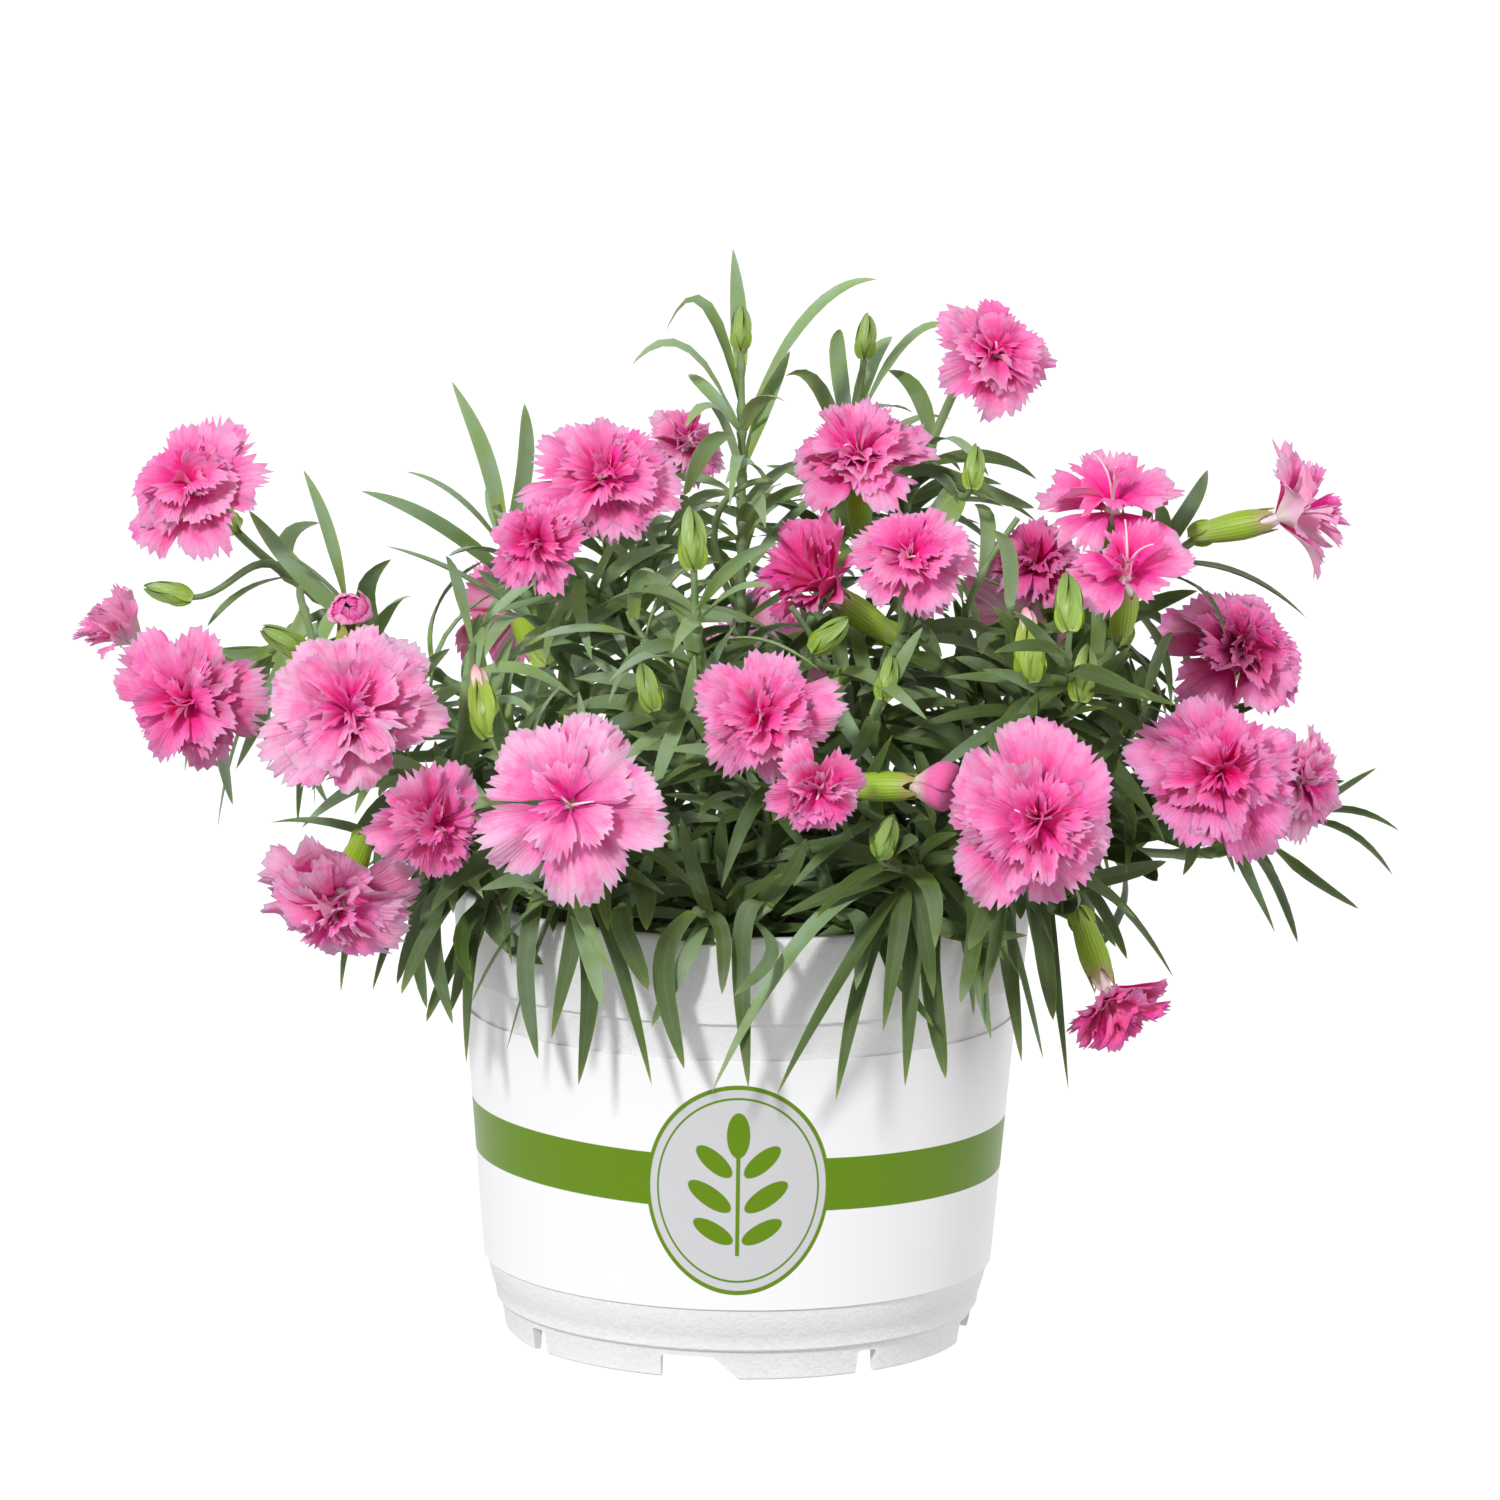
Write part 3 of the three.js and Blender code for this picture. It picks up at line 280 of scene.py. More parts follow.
pot = turned("nursery_pot", POT_OUTLINE, POT_SIDES)
notches = [notch_cutter(i) for i in range(NOTCH_COUNT)]
cut_away(pot, notches + [drain_cutter(i) for i in range(DRAIN_COUNT)])
pot.data.materials.clear()
pot.data.set_sharp_from_angle(angle=math.radians(28))
finish_piece(pot, [pot_plastic()], "pot_plastic", "pot")

# ---------------------------------------------------------------- label sleeve
# A smooth white printed film shrunk round the pot's wall: one plain green band that runs all round,
# a little askew, and in front a pale grey oval panel with a thin green edge and a plain leafy sprig.
SLEEVE_LOW = (56.62, 16.9)
SLEEVE_HIGH = (61.33, 74)
SLEEVE_FILM = 0.5
SLEEVE_EDGE = 0.12
SLEEVE_RADIUS = 59
PRINT_SOFT = 0.12
BAND_MIDDLE = 45.9
BAND_HALF = 6.0
BAND_SLANT = -0.022
PANEL_MIDDLE = 44.5
PANEL_HALF_WIDTH = 20.3
PANEL_HALF_HEIGHT = 24.0
PANEL_EDGE = 0.85
RING_INSET = 2.6
RING_HALF = 0.22
STALK_HALF_WIDTH = 0.45
STALK_HALF_HEIGHT = 13
PRINT_GREEN = colour(98, 134, 0)
PRINT_GREY = colour(204, 204, 207)
PRINT_WHITE = colour(243, 243, 245)
SPRIG_LEAVES = [(0, 12.5, 0, 2.5, 5.2), (5.2, 6.5, 48, 2.1, 5.0), (-5.2, 6.5, -48, 2.1, 5.0),
                (6.2, -1.5, 55, 2.2, 5.6), (-6.2, -1.5, -55, 2.2, 5.6),
                (5.4, -9.5, 60, 2.0, 5.0), (-5.4, -9.5, -60, 2.0, 5.0)]


def film_print():
    finish, tree, shader = new_finish("label_film", 0.34, IOR=1.5, Specular_IOR_Level=0.22)
    where = own_place(tree)
    parts = add_node(tree, "SeparateXYZ", {0: where})
    x, y, z = (product(tree, parts.outputs[i], 1 / MM) for i in range(3))
    turn = arithmetic(tree, "ARCTAN2", x, product(tree, y, -1))
    across = product(tree, turn, SLEEVE_RADIUS)

    def inside(distance):
        """1 where a distance in millimetres is under nought, with a short soft edge."""
        share = arithmetic(tree, "DIVIDE", distance, -PRINT_SOFT)
        return add_node(tree, "Clamp", {0: summed(tree, share, 0.5)}).outputs[0]

    def oval(middle_x, middle_z, tilt, half_x, half_z):
        """How far a place lies outside an oval, in millimetres."""
        dx = difference(tree, across, middle_x)
        dz = difference(tree, z, middle_z)
        c, s = math.cos(math.radians(tilt)), math.sin(math.radians(tilt))
        over = difference(tree, product(tree, dx, c), product(tree, dz, s))
        up = summed(tree, product(tree, dx, s), product(tree, dz, c))
        over = arithmetic(tree, "DIVIDE", over, half_x)
        up = arithmetic(tree, "DIVIDE", up, half_z)
        reach = arithmetic(tree, "SQRT", summed(tree, product(tree, over, over), product(tree, up, up)))
        return product(tree, difference(tree, reach, 1), min(half_x, half_z))

    slanted = difference(tree, z, product(tree, x, BAND_SLANT))
    off_band = arithmetic(tree, "ABSOLUTE", difference(tree, slanted, BAND_MIDDLE))
    band = inside(difference(tree, off_band, BAND_HALF))
    outer = oval(0, PANEL_MIDDLE, 0, PANEL_HALF_WIDTH, PANEL_HALF_HEIGHT)
    inner = summed(tree, outer, PANEL_EDGE)
    picture = blended(tree, band, PRINT_WHITE, PRINT_GREEN)
    picture = blended(tree, inside(outer), picture, PRINT_GREEN)
    picture = blended(tree, inside(inner), picture, PRINT_GREY)
    off_ring = arithmetic(tree, "ABSOLUTE", summed(tree, outer, RING_INSET))
    green = inside(difference(tree, off_ring, RING_HALF))
    aside = difference(tree, arithmetic(tree, "ABSOLUTE", across), STALK_HALF_WIDTH)
    off_middle = arithmetic(tree, "ABSOLUTE", difference(tree, z, PANEL_MIDDLE - 2))
    stalk = arithmetic(tree, "MAXIMUM", aside, difference(tree, off_middle, STALK_HALF_HEIGHT))
    green = arithmetic(tree, "MAXIMUM", green, inside(stalk))
    for dx, dz, tilt, half_x, half_z in SPRIG_LEAVES:
        leaf = inside(oval(dx, PANEL_MIDDLE + dz, tilt, half_x, half_z))
        green = arithmetic(tree, "MAXIMUM", green, leaf)
    picture = blended(tree, green, picture, PRINT_GREEN)
    in_front = arithmetic(tree, "LESS_THAN", y, 0)
    plain = blended(tree, band, PRINT_WHITE, PRINT_GREEN)
    tree.links.new(blended(tree, in_front, plain, picture), shader.inputs["Base Color"])
    ripple = noise_at(tree, 45, where, detail=1)
    bumped(tree, shader, ripple, 0.12, 0.001)
    return finish


def sleeve_outline():
    """The film in section; its four edges are a little rounded."""
    (low_radius, low), (high_radius, high), edge = SLEEVE_LOW, SLEEVE_HIGH, SLEEVE_EDGE
    return [(low_radius, low + edge), (low_radius + edge, low),
            (low_radius + SLEEVE_FILM - edge, low), (low_radius + SLEEVE_FILM, low + edge),
            (high_radius + SLEEVE_FILM, high - edge), (high_radius + SLEEVE_FILM - edge, high),
            (high_radius + edge, high), (high_radius, high - edge)]


sleeve = turned("printed_sleeve", sleeve_outline(), POT_SIDES)
sleeve.data.set_sharp_from_angle(angle=math.radians(40))
finish_piece(sleeve, [film_print()], "label_film", "label_sleeve")

# ---------------------------------------------------------------- soil
# Dark peat that fills the pot to a thumb's width below its lip: a low mound of crumbs with a few
# white grains of perlite.
SOIL_EDGE = 87.5
SOIL_MOUND = 3
SOIL_LUMP = 0.7
SOIL_GAP = 0.35
SOIL_SIDES = 120
SOIL_RINGS = 40
GRAIN_RING = 58
CRUMB_COUNT = 520
PERLITE_COUNT = 46
SEED_SOIL = 11
SEED_CRUMBS = 21
SEED_PERLITE = 31


def dice(seed):
    """A seeded draw between two numbers, the same in every run."""
    state = [(seed * 7919 + 104729) % 2**32]

    def draw(low, high):
        state[0] = (state[0] * 1664525 + 1013904223) % 2**32
        return low + (high - low) * state[0] / 2**32
    draw(0, 1)
    draw(0, 1)
    return draw


def blend(low, high, share):
    return (1 - share) * low + share * high


def inner_radius(z):
    (foot_radius, foot), (top_radius, top) = INSIDE_FOOT, INSIDE_TOP
    return blend(foot_radius, top_radius, (z - foot) / (top - foot))


def soil_height(x, y):
    out = min(1.0, math.hypot(x, y) / inner_radius(SOIL_EDGE))
    lumps = math.sin(x * 0.31 + 1) * math.cos(y * 0.27) + math.sin((x + y) * 0.17)
    return SOIL_EDGE + SOIL_MOUND * (1 - out * out) + SOIL_LUMP * lumps * (1 - out)


def crumbly_soil():
    """A closed body: rings of rough ground on top, and straight down to the pot's floor."""
    draw = dice(SEED_SOIL)
    wall = inner_radius(SOIL_EDGE) - SOIL_GAP
    corners = [(0, 0, soil_height(0, 0))]
    faces = []
    for ring in range(1, SOIL_RINGS + 1):
        for side in range(SOIL_SIDES):
            angle = 2 * math.pi * side / SOIL_SIDES
            out = wall * ring / SOIL_RINGS
            x, y = out * math.cos(angle), out * math.sin(angle)
            rough = draw(-0.5, 0.5) if ring < SOIL_RINGS else 0
            corners.append((x, y, soil_height(x, y) + rough))
    for side in range(SOIL_SIDES):
        after = (side + 1) % SOIL_SIDES
        faces.append([0, 1 + side, 1 + after])
        for ring in range(SOIL_RINGS - 1):
            low, high = 1 + ring * SOIL_SIDES, 1 + (ring + 1) * SOIL_SIDES
            faces.append([low + side, high + side, high + after, low + after])
    rim = 1 + (SOIL_RINGS - 1) * SOIL_SIDES
    floor = INSIDE_FOOT[1] + SOIL_GAP
    under = len(corners)
    for side in range(SOIL_SIDES):
        angle = 2 * math.pi * side / SOIL_SIDES
        out = inner_radius(floor) - SOIL_GAP
        corners.append((out * math.cos(angle), out * math.sin(angle), floor))
    corners.append((0, 0, floor))
    for side in range(SOIL_SIDES):
        after = (side + 1) % SOIL_SIDES
        faces.append([rim + side, under + side, under + after, rim + after])
        faces.append([under + after, under + side, len(corners) - 1])
    return body_mesh("peat_soil", corners, faces, smooth=False)


def grains(name, count, seed, sizes):
    """Small angular grains that lie on the soil, as one piece."""
    draw = dice(seed)
    corners = []
    faces = []
    for _ in range(count):
        angle = draw(0, 2 * math.pi)
        out = GRAIN_RING * math.sqrt(draw(0, 1))
        x, y = out * math.cos(angle), out * math.sin(angle)
        size = draw(*sizes)
        first = len(corners)
        ball = bmesh.new()
        bmesh.ops.create_icosphere(ball, subdivisions=1, radius=1)
        for corner in ball.verts:
            stretch = size * draw(0.7, 1.15)
            place = corner.co * stretch
            z = soil_height(x, y) + size * 0.35 + place.z * 0.8
            corners.append((x + place.x, y + place.y, z))
        faces.extend([[first + v.index for v in face.verts] for face in ball.faces])
        ball.free()
    return body_mesh(name, corners, faces, smooth=False)


def peat_finish():
    finish, tree, shader = new_finish("peat", 0.95)
    where = own_place(tree)
    crumb = noise_at(tree, 420, where, detail=5, roughness=0.7)
    tint = graded(tree, crumb, [(0.3, colour(24, 19, 13)), (0.55, colour(52, 39, 26)),
                                (0.8, colour(92, 70, 46))])
    tree.links.new(tint, shader.inputs["Base Color"])
    bumped(tree, shader, crumb, 0.9, 0.0012)
    return finish


def perlite_finish():
    finish, tree, shader = new_finish("perlite", 0.85)
    where = own_place(tree)
    pits = noise_at(tree, 1800, where, detail=2)
    tint = graded(tree, pits, [(0.35, colour(176, 172, 160)), (0.6, colour(232, 230, 222))])
    tree.links.new(tint, shader.inputs["Base Color"])
    bumped(tree, shader, pits, 0.6, 0.0003)
    return finish


peat = peat_finish()
finish_piece(crumbly_soil(), [peat], "soil", "soil")
crumbs = grains("peat_crumbs", CRUMB_COUNT, SEED_CRUMBS, (0.5, 1.5))
finish_piece(crumbs, [peat], "soil")
perlite = grains("perlite_grains", PERLITE_COUNT, SEED_PERLITE, (0.5, 1.1))
finish_piece(perlite, [perlite_finish()], "soil")

# ---------------------------------------------------------------- where stems and leaves grow
# The stems fork from 25 roots, each to its bloom, bud or leafy tip, and their opposite leaves find
# their own room between them. These are the same rules and draws as the solids stand by.
BLOOMS = {
    "left_high": ((-121, -5, 188.5), -115, 33, 18.5, "open"),
    "left_edge": ((-134, 9, 151.5), -160, 25, 12.5, "small"),
    "left_low": ((-121, -24, 146), -105, 10, 19, "open"),
    "left_pale": ((-84.5, -50, 146), -98, 27, 23.5, "full"),
    "left_ball": ((-69, -64, 128), -72, -5, 13, "small"),
    "left_hanging": ((-87, -52, 110), -105, -28, 18.5, "full"),
    "front_left": ((-37, -87, 135), -90, 13, 23, "full"),
    "centre_left": ((-32.5, -12, 192.5), -92, 38, 18.5, "full"),
    "centre_behind": ((-15, 14, 196.5), -50, 50, 11.5, "small"),
    "centre_small": ((-45, -36, 183.5), -98, 8, 12.5, "small"),
    "front_centre": ((3.5, -70, 151.5), -96, 18, 17.5, "open"),
    "front_lower": ((15, -84, 140.5), -70, -5, 13, "small"),
    "centre_side": ((19.5, -19, 170), -160, 35, 18.5, "cup"),
    "centre_right": ((35.5, -38, 180), -98, 38, 15.5, "open"),
    "top_middle": ((25, -2, 196), -90, 64, 18.5, "full"),
    "top_right": ((53, 0, 220.5), -66, 22, 15, "open"),
    "front_right": ((62, -80, 131.5), -87, 15, 22.5, "full"),
    "right_flat": ((81, -4, 187), -90, 72, 20, "full"),
    "right_upper": ((83, -36, 176.5), -88, 52, 17.5, "open"),
    "right_behind": ((65, 7, 171.5), -110, 40, 13, "small"),
    "right_side": ((116.5, 0, 185.5), -12, 14, 15, "cup"),
    "far_right_high": ((109.5, 10, 151.5), -65, 36, 18, "full"),
    "far_right_front": ((103, -36, 134), -88, 22, 20.5, "full"),
    "far_right_low": ((121.5, -6, 127.5), -35, 8, 14, "open"),
    "right_hanging": ((79.5, -50, 90), -60, -52, 13, "cup"),
    "half_open": ((37.5, -72, 137.5), -20, 4, 12, "rolled"),
    "ball_bud": ((-87, -30, 165), -90, 72, 6.5, "rolled"),
    "back_left": ((-52, 66, 150), 115, 30, 19, "full"),
    "back_middle": ((6, 86, 134), 88, 18, 20, "full"),
    "back_right": ((62, 66, 150), 62, 28, 18.5, "full"),
    "back_far_left": ((-92, 50, 132), 142, 15, 17, "open"),
}
BUDS = {
    "top": ((-2, 0, 227), -90, 84, 0.85),
    "top_right": ((26, 24, 222), 0, 86, 0.85),
    "long_stalk": ((-12, -40, 186), 120, 82, 1.15),
    "front": ((18.5, -51, 167), -24, 42, 0.95),
    "front_low": ((31, -47, 157), 60, 70, 0.85),
    "inner_left": ((-21, -57, 156), 150, 72, 0.9),
    "left": ((-57, -45, 149), 120, 66, 1.2),
    "far_left": ((-128, -14, 168), -176, 14, 0.9),
    "left_inner": ((-102, -22, 159), -170, 30, 0.95),
    "right_top": ((50, -10, 198), 75, 70, 0.85),
    "right": ((70, -58, 176), 95, 66, 1.1),
    "right_pair": ((62, -44, 163), 110, 78, 1.2),
    "right_low": ((74, -44, 158), 60, 74, 1.05),
    "front_small": ((31, -80, 128), -60, 60, 0.95),
}
STEMS = {
    "left_spray": dict(root=(-30, -2), bloom="left_high", rise=0.43, pairs=5, forks=[
        dict(at=0.72, bloom="left_low"), dict(at=0.62, bloom="left_edge"),
        dict(at=0.86, bud="far_left"), dict(at=0.8, bud="left_inner")]),
    "left_front": dict(root=(-38, -15), bloom="left_pale", rise=0.5, pairs=4, forks=[
        dict(at=0.6, bloom="ball_bud")]),
    "left_low": dict(root=(-43, -27), bloom="left_hanging", rise=0.75, pairs=1, forks=[
        dict(at=0.25, tip=(-62, -50, 112), leafy="skirt_left")]),
    "front_left": dict(root=(-27, -38), bloom="front_left", rise=0.5, pairs=3, forks=[
        dict(at=0.4, bud="left"), dict(at=0.3, bloom="left_ball"),
        dict(at=0.2, tip=(-38, -62, 113), leafy="skirt_front_left")]),
    "centre_left": dict(root=(-14, -8), bloom="centre_left", rise=0.5, pairs=5, forks=[
        dict(at=0.55, bloom="centre_small"), dict(at=0.6, bloom="centre_behind")]),
    "bud_stalk": dict(root=(-8, -25), bud="long_stalk", rise=0.5, pairs=4, forks=[
        dict(at=0.55, bud="inner_left")]),
    "front_centre": dict(root=(4, -38), bloom="front_centre", rise=0.5, pairs=3, forks=[
        dict(at=0.4, bloom="front_lower")]),
    "centre": dict(root=(7, -13), bloom="centre_right", rise=0.5, pairs=5, forks=[
        dict(at=0.5, bloom="centre_side"), dict(at=0.62, bud="front"), dict(at=0.43, bud="front_low")]),
    "right_top": dict(root=(18, 2), bloom="top_right", rise=0.45, pairs=6, forks=[
        dict(at=0.55, bloom="top_middle"), dict(at=0.78, bud="right_top")]),
    "front_right": dict(root=(24, -33), bloom="front_right", rise=0.5, pairs=3, forks=[
        dict(at=0.45, bloom="half_open"), dict(at=0.4, bud="front_small"),
        dict(at=0.2, tip=(35, -62, 113), leafy="skirt_front_right")]),
    "right_middle": dict(root=(29, -2), bloom="right_flat", rise=0.54, pairs=4, forks=[
        dict(at=0.55, bloom="right_behind")]),
    "right_front": dict(root=(34, -16), bloom="right_upper", rise=0.5, pairs=4, forks=[
        dict(at=0.62, bud="right"), dict(at=0.55, bud="right_pair"), dict(at=0.6, bud="right_low")]),
    "far_right_top": dict(root=(37, 8), bloom="right_side", rise=0.6, pairs=4),
    "far_right": dict(root=(44, -6), bloom="far_right_front", rise=0.45, pairs=2, forks=[
        dict(at=0.55, bloom="far_right_high"), dict(at=0.6, bloom="far_right_low")]),
    "right_hanging": dict(root=(45, -24), bloom="right_hanging", rise=0.8, pairs=1, forks=[
        dict(at=0.3, tip=(66, -34, 113), leafy="skirt_right")]),
    "back_left": dict(root=(-24, 22), bloom="back_left", rise=0.5, pairs=4, forks=[
        dict(at=0.45, bloom="back_far_left"), dict(at=0.25, tip=(-54, 46, 113), skirt=5)]),
    "back_middle": dict(root=(2, 36), bloom="back_middle", rise=0.5, pairs=4, forks=[
        dict(at=0.25, tip=(0, 72, 113), skirt=5)]),
    "back_right": dict(root=(25, 27), bloom="back_right", rise=0.5, pairs=4, forks=[
        dict(at=0.25, tip=(54, 46, 113), skirt=5)]),
    "shoot_top": dict(root=(-3, 6), bud="top", rise=0.5, pairs=6, leafy="shoot_top"),
    "shoot_top_right": dict(root=(9, 20), bud="top_right", rise=0.5, pairs=5, leafy="shoot_top_right"),
    "shoot_left": dict(root=(-26, 10), tip=(-56, 2, 186), rise=0.5, pairs=5, leafy="shoot_left"),
    "shoot_far_left": dict(root=(-42, 6), tip=(-90, 2, 164), rise=0.5, pairs=4, leafy="shoot_far_left"),
    "shoot_back": dict(root=(-10, 26), tip=(-20, 48, 176), rise=0.5, pairs=5),
    "shoot_back_right": dict(root=(38, 28), tip=(92, 50, 134), rise=0.55, pairs=5),
    "shoot_right": dict(root=(50, 6), tip=(128, 20, 115), rise=0.45, pairs=3, leafy="shoot_right"),
}
LONG_LEAVES = {
    "shoot_top": [
        (0.97, (-4, -3, 245), 0), (0.86, (28, 0, 238), 9), (0.86, (-26, -6, 219), 11),
        (0.9, (-19, 8, 224), 6), (0.78, (-14, -12, 206), 4), (0.78, (9, 6, 221), 3)],
    "shoot_top_right": [
        (0.8, (8, 14, 214), 8), (0.84, (20, 20, 224), 0), (0.86, (45, 18, 225), 8),
        (0.7, (46, 32, 202), 8), (0.9, (32, 38, 220), 3)],
    "shoot_left": [
        (0.95, (-66, 0, 214), 0), (0.85, (-76, -3, 194), 4), (0.75, (-86, 0, 189), 7),
        (0.9, (-50, 8, 208), 2), (0.66, (-80, -8, 178), 6)],
    "shoot_far_left": [
        (0.98, (-99, 4, 193), 2), (0.92, (-111, 2, 184), 3), (0.8, (-103, -6, 176), 6),
        (0.97, (-96, -14, 150), 5)],
    "shoot_right": [
        (1, (148, 17, 112), 3), (0.95, (143, 25, 125), -3), (0.9, (139, 12, 95), -1),
        (0.98, (147, 21, 101), 7), (0.85, (120, 8, 90), 6), (0.8, (112, 36, 98), 6)],
    "skirt_left": [
        (1, (-71, -47, 90), 5), (0.95, (-63, -51, 79), 6), (0.85, (-76, -33, 84), 8)],
    "skirt_front_left": [
        (1, (-51, -60, 75), 6), (1, (-41, -69, 80), 6), (0.9, (-35, -70, 70), 7),
        (0.9, (-30, -74, 88), 6), (0.8, (-19, -74, 71), 8), (0.7, (-59, -52, 84), 8)],
    "skirt_front_right": [
        (1, (8, -75, 69), 9), (1, (21, -73, 68), 7), (0.9, (36, -72, 71), 9),
        (1, (31, -76, 84), 5), (0.8, (-6, -76, 70), 11), (0.9, (42, -68, 90), 6)],
    "skirt_right": [
        (1, (69, -38, 79), 6), (1, (62, -45, 71), 6), (0.95, (73, -28, 61), 7),
        (0.9, (96, -24, 86), 7), (0.8, (86, -14, 88), 8)],
}
# Small shoots between the others: their stem, place along it, tip, and the tips of their long leaves.
SHOOTS = [
    ("left_low", 0.15, (-55, -47, 110), ((-64, -40, 79), (-60, -50, 70))),
    ("front_left", 0.12, (-46, -55, 110), ((-50, -58, 94), (-44, -63, 74))),
    ("front_left", 0.1, (-26, -66, 109), ((-20, -74, 92), (-31, -70, 66))),
    ("front_centre", 0.12, (-10, -69, 109), ((-12, -75, 75), (-4, -77, 92))),
    ("front_centre", 0.16, (6, -69, 110), ((2, -76, 71), (13, -74, 77))),
    ("front_right", 0.12, (20, -67, 109), ((25, -75, 93), (28, -73, 73))),
    ("front_right", 0.1, (44, -55, 110), ((51, -58, 84), (45, -63, 71))),
    ("right_hanging", 0.15, (56, -42, 111), ((61, -46, 86), (67, -37, 70), (55, -54, 78))),
    ("shoot_top", 0.5, (5, -10, 194), ((16, -16, 198), (-5, -16, 194))),
    ("centre_left", 0.5, (-14, -6, 190), ((-3, -12, 204), (-9, -16, 190))),
    ("right_top", 0.4, (36, 8, 204), ((34, 4, 224), (44, 0, 210))),
    ("bud_stalk", 0.5, (-26, -30, 168), ((-34, -34, 186), (-20, -40, 178))),
    ("centre", 0.45, (10, -34, 170), ((4, -38, 190), (18, -42, 182))),
    ("right_middle", 0.5, (60, -6, 186), ((66, -8, 204), (52, -12, 196))),
    ("right_front", 0.5, (58, -30, 170), ((54, -36, 188), (66, -38, 180))),
    ("left_front", 0.5, (-60, -30, 160), ((-66, -32, 180), (-56, -38, 176))),
    ("far_right", 0.4, (88, -20, 146), ((94, -24, 164), (84, -30, 158))),
]
SEED_STEMS = 100
SEED_FORKS = 300
SEED_LEAVES = 700
SEED_THIN_LEAVES = 740
SEED_SHOOTS = 800
SEED_BLOOMS = 900
STEM_RADIUS = 1.25
FORK_RADIUS = 1.05
SHOOT_RADIUS = 0.85
STEM_START = 88
STEM_BURIED = 77
STEM_RUN = 30
FORK_RISE = 0.4
PATH_ONWARD = 0.75
PATH_FACING = 0.5
PATH_UPWARD = 0.15
PATH_ARRIVAL = 0.35
ROUTE_TRIES = 40
ROUTE_LOOSER = 0.9
# Below this height over the soil, branches may pass through the room of others.
CROWN = 8
BALL_STEP = 1.6
LEAF_BALL_STEP = 1.8
# A leaf shares its stem's room up to this distance from its foot.
LEAF_FOOT = 7
POT_CLEAR = 0.5
FLOOR_CLEAR = 2
POT_MOUTH = 95
CALYX_LENGTH = 13
CALYX_GAP = 2.5
CALYX_MOUTH = 2.9
BUD_LENGTH = 11.5
LEAF_WIDTH = 4.35
LEAF_LENGTH = (29, 40)
LEAF_OPENING = (28, 55)
LEAF_DROOP = (8, 34)
LEAF_ROOM = 0.3
LEAF_TRIES = 9
LEAF_LIFTS = (0, 3, -3, 6, 9, 12)
PAIRS_FROM = 0.1
PAIRS_TO = 0.86
LONG_FORK = 34
FORK_PAIR = 0.57
SKIRT_SPREAD = 17
SKIRT_OUT = (76, 90)
SKIRT_LOW = (70, 92)
SKIRT_ARCH = 7
SHOOT_ARCH = 5
ROOM_CELL = 8
SLIM_ROOM = 0.7
FILL_TRIES = 8
FILL_TO = 0.92
AIRY_TOP = 192
AIRY_SIDE = 84
AIRY_LOW = 108
AIRY_LEFT = -60
AIRY_LEFT_LOW = 132
BLOOM_CLEAR = 0.85
BLOOM_BACK = 12
BLOOM_CLEAR_SLOPE = 0.19
UP = (0.0, 0.0, 1.0)


def plus(a, b, share=1.0):
    return (a[0] + b[0] * share, a[1] + b[1] * share, a[2] + b[2] * share)


def dot(a, b):
    return a[0] * b[0] + a[1] * b[1] + a[2] * b[2]


def cross(a, b):
    return (a[1] * b[2] - a[2] * b[1], a[2] * b[0] - a[0] * b[2], a[0] * b[1] - a[1] * b[0])


def unit(a):
    size = math.sqrt(dot(a, a))
    return (a[0] / size, a[1] / size, a[2] / size)


def off_axis(start, along, high, out, far):
    """The place so high along an axis and so far out from it."""
    return plus(plus(start, along, high), out, far)


def spoke(along, side, angle):
    """The direction square to an axis, at an angle from its side."""
    return plus(tuple(c * math.cos(angle) for c in side), cross(along, side), math.sin(angle))


def apart(a, b):
    return math.sqrt(sum((p - q) ** 2 for p, q in zip(a, b)))


def facing(turn, lift):
    """The unit direction that a turn and a lift in degrees describe."""
    turn, lift = math.radians(turn), math.radians(lift)
    return (math.cos(turn) * math.cos(lift), math.sin(turn) * math.cos(lift), math.sin(lift))


def squared(side, along):
    """A vector turned square to a direction, with length 1."""
    return unit(plus(side, along, -dot(side, along)))


def square_to(along):
    return squared((1, 0, 0) if abs(along[0]) < 0.8 else (0, 1, 0), along)


def curve_point(points, t):
    """A place on a curve that is bent by its middle points, two or one."""
    k = 1 - t
    if len(points) == 4:
        shares = (k * k * k, 3 * k * k * t, 3 * k * t * t, t * t * t)
    else:
        shares = (k * k, 2 * k * t, t * t)
    return tuple(sum(share * p[axis] for share, p in zip(shares, points)) for axis in range(3))


def curve_along(points, t):
    step = 0.0001
    low, high = max(0.0, t - step), min(1.0, t + step)
    return unit(plus(curve_point(points, high), curve_point(points, low), -1))


def curve_length(points):
    stops = [curve_point(points, i / 200) for i in range(201)]
    return sum(apart(a, b) for a, b in zip(stops, stops[1:]))


HEADS = {name: dict(name=name, at=tuple(map(float, at)), front=facing(turn, lift), radius=radius, form=form)
         for name, (at, turn, lift, radius, form) in BLOOMS.items()}


def head_room(head):
    """How far a bloom reaches behind and before its centre, and out to its side."""
    radius = head["radius"]
    if head["form"] == "rolled":
        return 1, radius + 2, 5.5
    if head["form"] == "cup":
        return 1, radius * 1.05 + 2, radius * 0.95 + 1.5
    return 0.12 * radius, 0.62 * radius + 2, radius + 1.5


HEAD_ROOMS = [(head, *head_room(head)) for head in HEADS.values()]
claimed = {}


def claim(ball):
    key = tuple(math.floor(c / ROOM_CELL) for c in ball[0])
    claimed.setdefault(key, []).append(ball)


